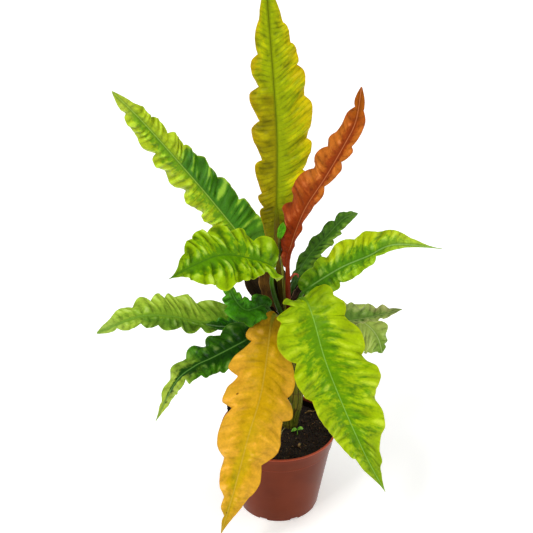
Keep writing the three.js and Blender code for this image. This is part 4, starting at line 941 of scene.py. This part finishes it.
def soilFinish(name):
    # nearly black peat with rusty and pale grains; tone varies from crumb to crumb
    made = Finish(name, soil["dark"])
    tone = made.attribute("tone")
    grain = made.noise(made.place, 420, 4, 0.7)
    clump = made.noise(made.place, 110, 3)
    made.cover(soil["mid"], (grain * 0.5 + clump * 0.5 + tone * 0.5).ease(0.35, 0.85))
    made.cover(soil["rust"], (clump * 0.6 + tone * 0.6).ease(0.6, 0.95) * 0.7)
    made.cover(soil["pale"], grain.ease(0.66, 0.78) * 0.5 + tone.ease(0.93, 0.97) * 0.6)
    return made.done(0.95, grain + clump * 0.4, depth=0.0012, strength=1.0)


def crumbShapes(draw, count):
    # round lumps of 20 faces, each stretched, turned and dented at random
    golden = (1 + math.sqrt(5)) / 2
    corners = unit(np.array([[-1, golden, 0], [1, golden, 0], [-1, -golden, 0], [1, -golden, 0],
                             [0, -1, golden], [0, 1, golden], [0, -1, -golden], [0, 1, -golden],
                             [golden, 0, -1], [golden, 0, 1], [-golden, 0, -1], [-golden, 0, 1]], float))
    sides = np.array([[0, 11, 5], [0, 5, 1], [0, 1, 7], [0, 7, 10], [0, 10, 11], [1, 5, 9], [5, 11, 4],
                      [11, 10, 2], [10, 7, 6], [7, 1, 8], [3, 9, 4], [3, 4, 2], [3, 2, 6], [3, 6, 8],
                      [3, 8, 9], [4, 9, 5], [2, 4, 11], [6, 2, 10], [8, 6, 7], [9, 8, 1]])
    size = blend(soil["crumbSize"][0], soil["crumbSize"][1], draw.uniform(0, 1, count) ** 2.2)
    stretch = draw.uniform(0.6, 1.5, (count, 1, 3))
    dents = draw.uniform(0.75, 1.2, (count, 12, 1))
    turned, _ = np.linalg.qr(draw.normal(size=(count, 3, 3)))
    turned *= np.sign(np.linalg.det(turned))[:, None, None]
    lumps = (corners * dents * stretch) @ turned * size[:, None, None]
    where = soil["radius"] * 0.965 * np.sqrt(draw.uniform(0, 1, count))
    angle = draw.uniform(0, 2 * math.pi, count)
    x, y = where * np.cos(angle), where * np.sin(angle)
    middle = np.stack([x, y, soilHeight(x, y) + 0.25 * size], -1)
    tone = np.repeat(draw.uniform(0, 1, count), 12)
    faces = (sides + 12 * np.arange(count)[:, None, None]).reshape(-1, 3)
    return (lumps + middle[:, None]).reshape(-1, 3), faces, tone


def fibreShapes(draw, count):
    # thin bent threads of three sides, lying on the soil
    steps, sides = 7, 3
    length = draw.uniform(4, 13, count)
    angle = draw.uniform(0, 2 * math.pi, count)
    curve = draw.uniform(-0.7, 0.7, count)
    s = np.linspace(-0.5, 0.5, steps)
    where = soil["radius"] * 0.85 * np.sqrt(draw.uniform(0, 1, count))
    spot = draw.uniform(0, 2 * math.pi, count)
    heading = angle[:, None] + curve[:, None] * s * 2
    x = (where * np.cos(spot))[:, None] + length[:, None] * s * np.cos(heading)
    y = (where * np.sin(spot))[:, None] + length[:, None] * s * np.sin(heading)
    z = soilHeight(x, y) + 0.35
    z = blend(z, z.mean(axis=1, keepdims=True) + 0.5, 0.6)
    turns = roundTurns(sides)
    thick = 0.22 * np.sqrt(np.clip(1.02 - (2 * s) ** 2, 0.05, 1))[None, :, None] * np.ones((count, 1, 1))
    ring = np.stack([x[..., None] - np.sin(heading)[..., None] * thick * np.cos(turns),
                     y[..., None] + np.cos(heading)[..., None] * thick * np.cos(turns),
                     z[..., None] + thick * np.sin(turns)], -1)
    quads = gridQuads(steps, sides, loop=True)
    caps = np.array([[2, 1, 0], [(steps - 1) * sides, (steps - 1) * sides + 1, (steps - 1) * sides + 2]])
    each = steps * sides
    offsets = each * np.arange(count)[:, None, None]
    return ring.reshape(-1, 3), (quads + offsets).reshape(-1, 4), (caps + offsets).reshape(-1, 3)


def makeSoil():
    # the bed, then crumbs and fibres on it from one run of random draws
    draw = np.random.RandomState(soil["seed"])
    points, faces = soilShape()
    addPiece("soil_bed", points, faces, soilFinish("soil_finish"), ["soil"],
             {"tone": np.full(len(points), 0.3)})
    lumps, sides, tone = crumbShapes(draw, soil["crumbs"])
    addPiece("soil_crumbs", lumps, [sides], soilFinish("crumb_finish"),
             attributes={"tone": tone})
    threads, quads, caps = fibreShapes(draw, soil["fibres"])
    made = Finish("fibre_finish", soil["fibre"][0])
    made.cover(soil["fibre"][1], made.noise(made.place, 60, 2).ease(0.42, 0.6))
    addPiece("soil_fibres", threads, [quads, caps], made.done(0.9))
    print("soil made:", len(points) + len(lumps), "points")


makeSoil()


# the cane

cane = {
    "path": [[14, 14, 62], [17, 14, 118], [25, 11, 172], [24, 9, 222], [15, 6, 276], [9, 4, 318]],
    "radius": [11.3, 8], "scars": 9, "scarRise": 0.45, "ridges": 13, "ridgeRise": 0.75,
    "around": 108, "rows": 330,
    "green": "#586410", "olive": "#746e1c", "bark": "#3a2a0e", "pale": "#989040",
}


def caneShape():
    # a bar along the bend: leaf scars ring it, ridges run along it and split now and then
    t = np.linspace(0, 1, cane["rows"])
    centre = splineThrough(cane["path"])(t * (len(cane["path"]) - 1))
    share = t[:, None]
    turns = roundTurns(cane["around"])[None, :]
    x, y, height = centre[:, :1], centre[:, 1:2], centre[:, 2:3]

    def grain(stretch, size, seed):
        # noise round and along the cane, drawn out along it by a small stretch
        place = np.broadcast_arrays(np.cos(turns) * 10, np.sin(turns) * 10, height * stretch)
        return softNoise(np.stack(place, -1), size, seed, 2)
    ridge = np.abs(np.sin(cane["ridges"] / 2 * turns + 1.6 * grain(0.16, 14, 31))) ** 0.6
    scar = np.maximum(0, np.cos(2 * math.pi * cane["scars"] * share + 0.25 * np.sin(turns))) ** 6
    scar = cane["scarRise"] * 1.5 * scar
    radius = (blend(cane["radius"][0], cane["radius"][1], share) + scar - cane["ridgeRise"]
              + cane["ridgeRise"] * 1.6 * ridge + 0.3 * grain(0.5, 4, 32))
    ring = np.stack(np.broadcast_arrays(x + radius * np.cos(turns), y + radius * np.sin(turns), height), -1)
    points, quads, ends = closedRings(ring, centre[0], centre[-1])
    marks = {"ridge": np.append(ridge, [0.5, 0.5]), "scar": np.append(scar, [0, 0]),
             "rise": np.append(np.broadcast_to(share, ridge.shape), [0, 1])}
    return points, [quads, ends], marks


def caneFinish():
    # green skin on the ridges, brown bark in the furrows and on the scars, browner towards the top
    made = Finish("cane_finish", cane["green"])
    x, y, z = made.split()
    ridge, scar, rise = [made.attribute(name) for name in ["ridge", "scar", "rise"]]
    fibre = made.noise(made.point(x, y, z * 0.12), 420, 3)
    patch = made.noise(made.place, 70, 3)
    made.cover(cane["olive"], (fibre * 0.5 + patch * 0.5).ease(0.4, 0.62))
    made.cover(cane["pale"], fibre.ease(0.6, 0.72) * 0.4)
    made.cover(cane["bark"], (ridge + (fibre - 0.5) * 0.8).ease(0.75, 0.25) * 0.85)
    made.cover(cane["bark"], (scar + (patch - 0.5) * 0.6).ease(0.35, 0.8) * 0.4)
    made.cover(cane["bark"], (rise + (patch - 0.5) * 0.3).ease(0.75, 0.95) * 0.6)
    return made.done(0.72 + (fibre - 0.5) * 0.3, fibre + patch * 0.3, depth=0.0009, strength=0.8,
                     Specular_IOR_Level=0.2)


points, faces, marks = caneShape()
addPiece("cane_stem", points, faces, caneFinish(), ["cane"], marks)
print("cane made:", len(points), "points")


# the seedling

sprout = {"place": [27, -7, 119], "leafLength": 8.6, "leafWidth": 4.2, "color": "#5cae20", "tip": "#9cd850"}


def makeSprout():
    # a thin stalk and two cupped leaves: width sin(pi u)^0.7, lifted along and across like a spoon
    x, y, z = sprout["place"]
    at = splineThrough([[x, y, z - 6], [x + 0.4, y, z + 2], [x, y + 0.5, z + 8]])
    stalk, quads, ends = tube(at(np.linspace(0, 2, 14)), np.linspace(0.8, 0.55, 14), 8)
    parts, faces = [stalk], [quads, ends]
    u = np.linspace(0, 1, 18)[:, None]
    v = np.linspace(-1, 1, 11)[None, :]
    for sign in (-1, 1):
        width = sprout["leafWidth"] * np.sin(math.pi * np.clip(u * 0.96 + 0.02, 0, 1)) ** 0.7
        along = sign * (0.2 + u * sprout["leafLength"]) + 0 * v
        lift = 8.0 + (2.6 + 2.8 * sign) * u - 3.4 * u ** 2 + 0.9 * v ** 2 * np.sin(math.pi * u)
        top = np.stack([x + along, y + 0.5 + width * v - 0.6 * u * sign, z + lift + 0.12], -1)
        points, quads = thinSkin(top, top - [0, 0, 0.3])
        faces.append((quads if sign > 0 else quads[:, ::-1]) + sum(len(part) for part in parts))
        parts.append(points)
    made = Finish("sprout_finish", sprout["color"])
    made.cover(sprout["tip"], made.noise(made.place, 300, 2).ease(0.4, 0.62))
    addPiece("seedling", np.concatenate(parts), faces, made.done(0.4), ["sprout"])


makeSprout()
print("seedling made")


# loose bits: a flake of bark, a twig and a pale strand on the soil, a near-black chip at the rim

bits = [
    {"name": "bark_flake", "path": [[28, -38, 120], [29, -38, 122.5], [30, -37, 125]],
     "radius": [1.2, 1.9, 1.2], "dark": "#8c6c3c", "pale": "#c8a874"},
    {"name": "twig", "path": [[40, 44, 120.5], [46, 47, 122], [52, 46, 122.5], [56, 50, 121]],
     "radius": [0.8, 1.3, 1.1, 0.7], "dark": "#5c4424", "pale": "#9c7c50"},
    {"name": "pale_strand", "path": [[3, -12, 120.5], [5, -4, 122.5], [9, 2, 123], [10, 6, 121]],
     "radius": [0.4, 0.6, 0.5, 0.3], "dark": "#6c6c40", "pale": "#a4a070"},
    # a near-black chip standing up at the back of the rim
    {"name": "dark_rim_chip", "path": [[-64, 29, 117], [-71, 33, 131], [-74, 35, 146]],
     "radius": [3.4, 5.2, 3.4], "dark": "#0c0a08", "pale": "#241c14"},
]
for bit in bits:
    t = np.linspace(0, len(bit["path"]) - 1, 22)
    path = splineThrough(bit["path"])(t)
    radii = np.interp(t, np.arange(len(bit["radius"])), bit["radius"]) * (1 + 0.15 * softNoise(path, 3, 8))
    addBar({**bit, "slot": "potting_soil"}, path, radii, 10, 1, 0.85, 0.0006, 0.1)
print("loose bits made")


# floor, light and camera

studio = {
    "floor": "#fdfdfc", "world": "#ffffff", "worldStrength": 0.4, "floorGlow": 0.35,
    "suns": [   # name, turned round from the front, height over the floor, strength, softness
        ["key", -38, 50, 1.15, 14], ["top", 20, 74, 0.5, 60], ["fill", 62, 34, 0.3, 40],
        ["left", -88, 22, 0.3, 60], ["right", 88, 22, 0.3, 60]],
    "cameraPlace": [-0.018, -1.21, 1.0], "lookDown": 26.7, "focus": 1000, "frame": 533,
}


def softSun(name, turn, height, strength, softness):
    # a sun lamp at that turn and height, in degrees, its disc softness wide
    lamp = bpy.data.lights.new(name, "SUN")
    lamp.energy = strength
    lamp.angle = math.radians(softness)
    made = bpy.data.objects.new(name, lamp)
    bpy.context.scene.collection.objects.link(made)
    made.rotation_euler = (math.radians(90 - height), 0, math.radians(turn))


def makeStudio():
    # an even white world, a wide floor that glows a little, soft suns and the camera
    scene = bpy.context.scene
    world = bpy.data.worlds.new("studio_world")
    world.use_nodes = True
    back = world.node_tree.nodes["Background"]
    back.inputs["Color"].default_value = paint(studio["world"])
    back.inputs["Strength"].default_value = studio["worldStrength"]
    scene.world = world

    mesh = bpy.data.meshes.new("floor")
    far = 30.0
    mesh.from_pydata([(-far, -far, 0), (far, -far, 0), (far, far, 0), (-far, far, 0)], [], [(0, 1, 2, 3)])
    floor = bpy.data.objects.new("floor", mesh)
    scene.collection.objects.link(floor)
    glow = {"Emission_Color": paint(studio["floor"]), "Emission_Strength": studio["floorGlow"]}
    mesh.materials.append(Finish("floor_finish", studio["floor"]).done(0.9, **glow))

    for sun in studio["suns"]:
        softSun(*sun)

    view = bpy.data.cameras.new("camera")
    view.sensor_width = 36
    view.lens = studio["focus"] * view.sensor_width / studio["frame"]
    view.clip_start, view.clip_end = 0.05, 60
    camera = bpy.data.objects.new("camera", view)
    scene.collection.objects.link(camera)
    camera.location = studio["cameraPlace"]
    camera.rotation_euler = (math.radians(90 - studio["lookDown"]), 0, 0)
    scene.camera = camera
    scene.view_settings.view_transform = "Standard"
    scene.view_settings.look = "None"


makeStudio()
print("studio made")
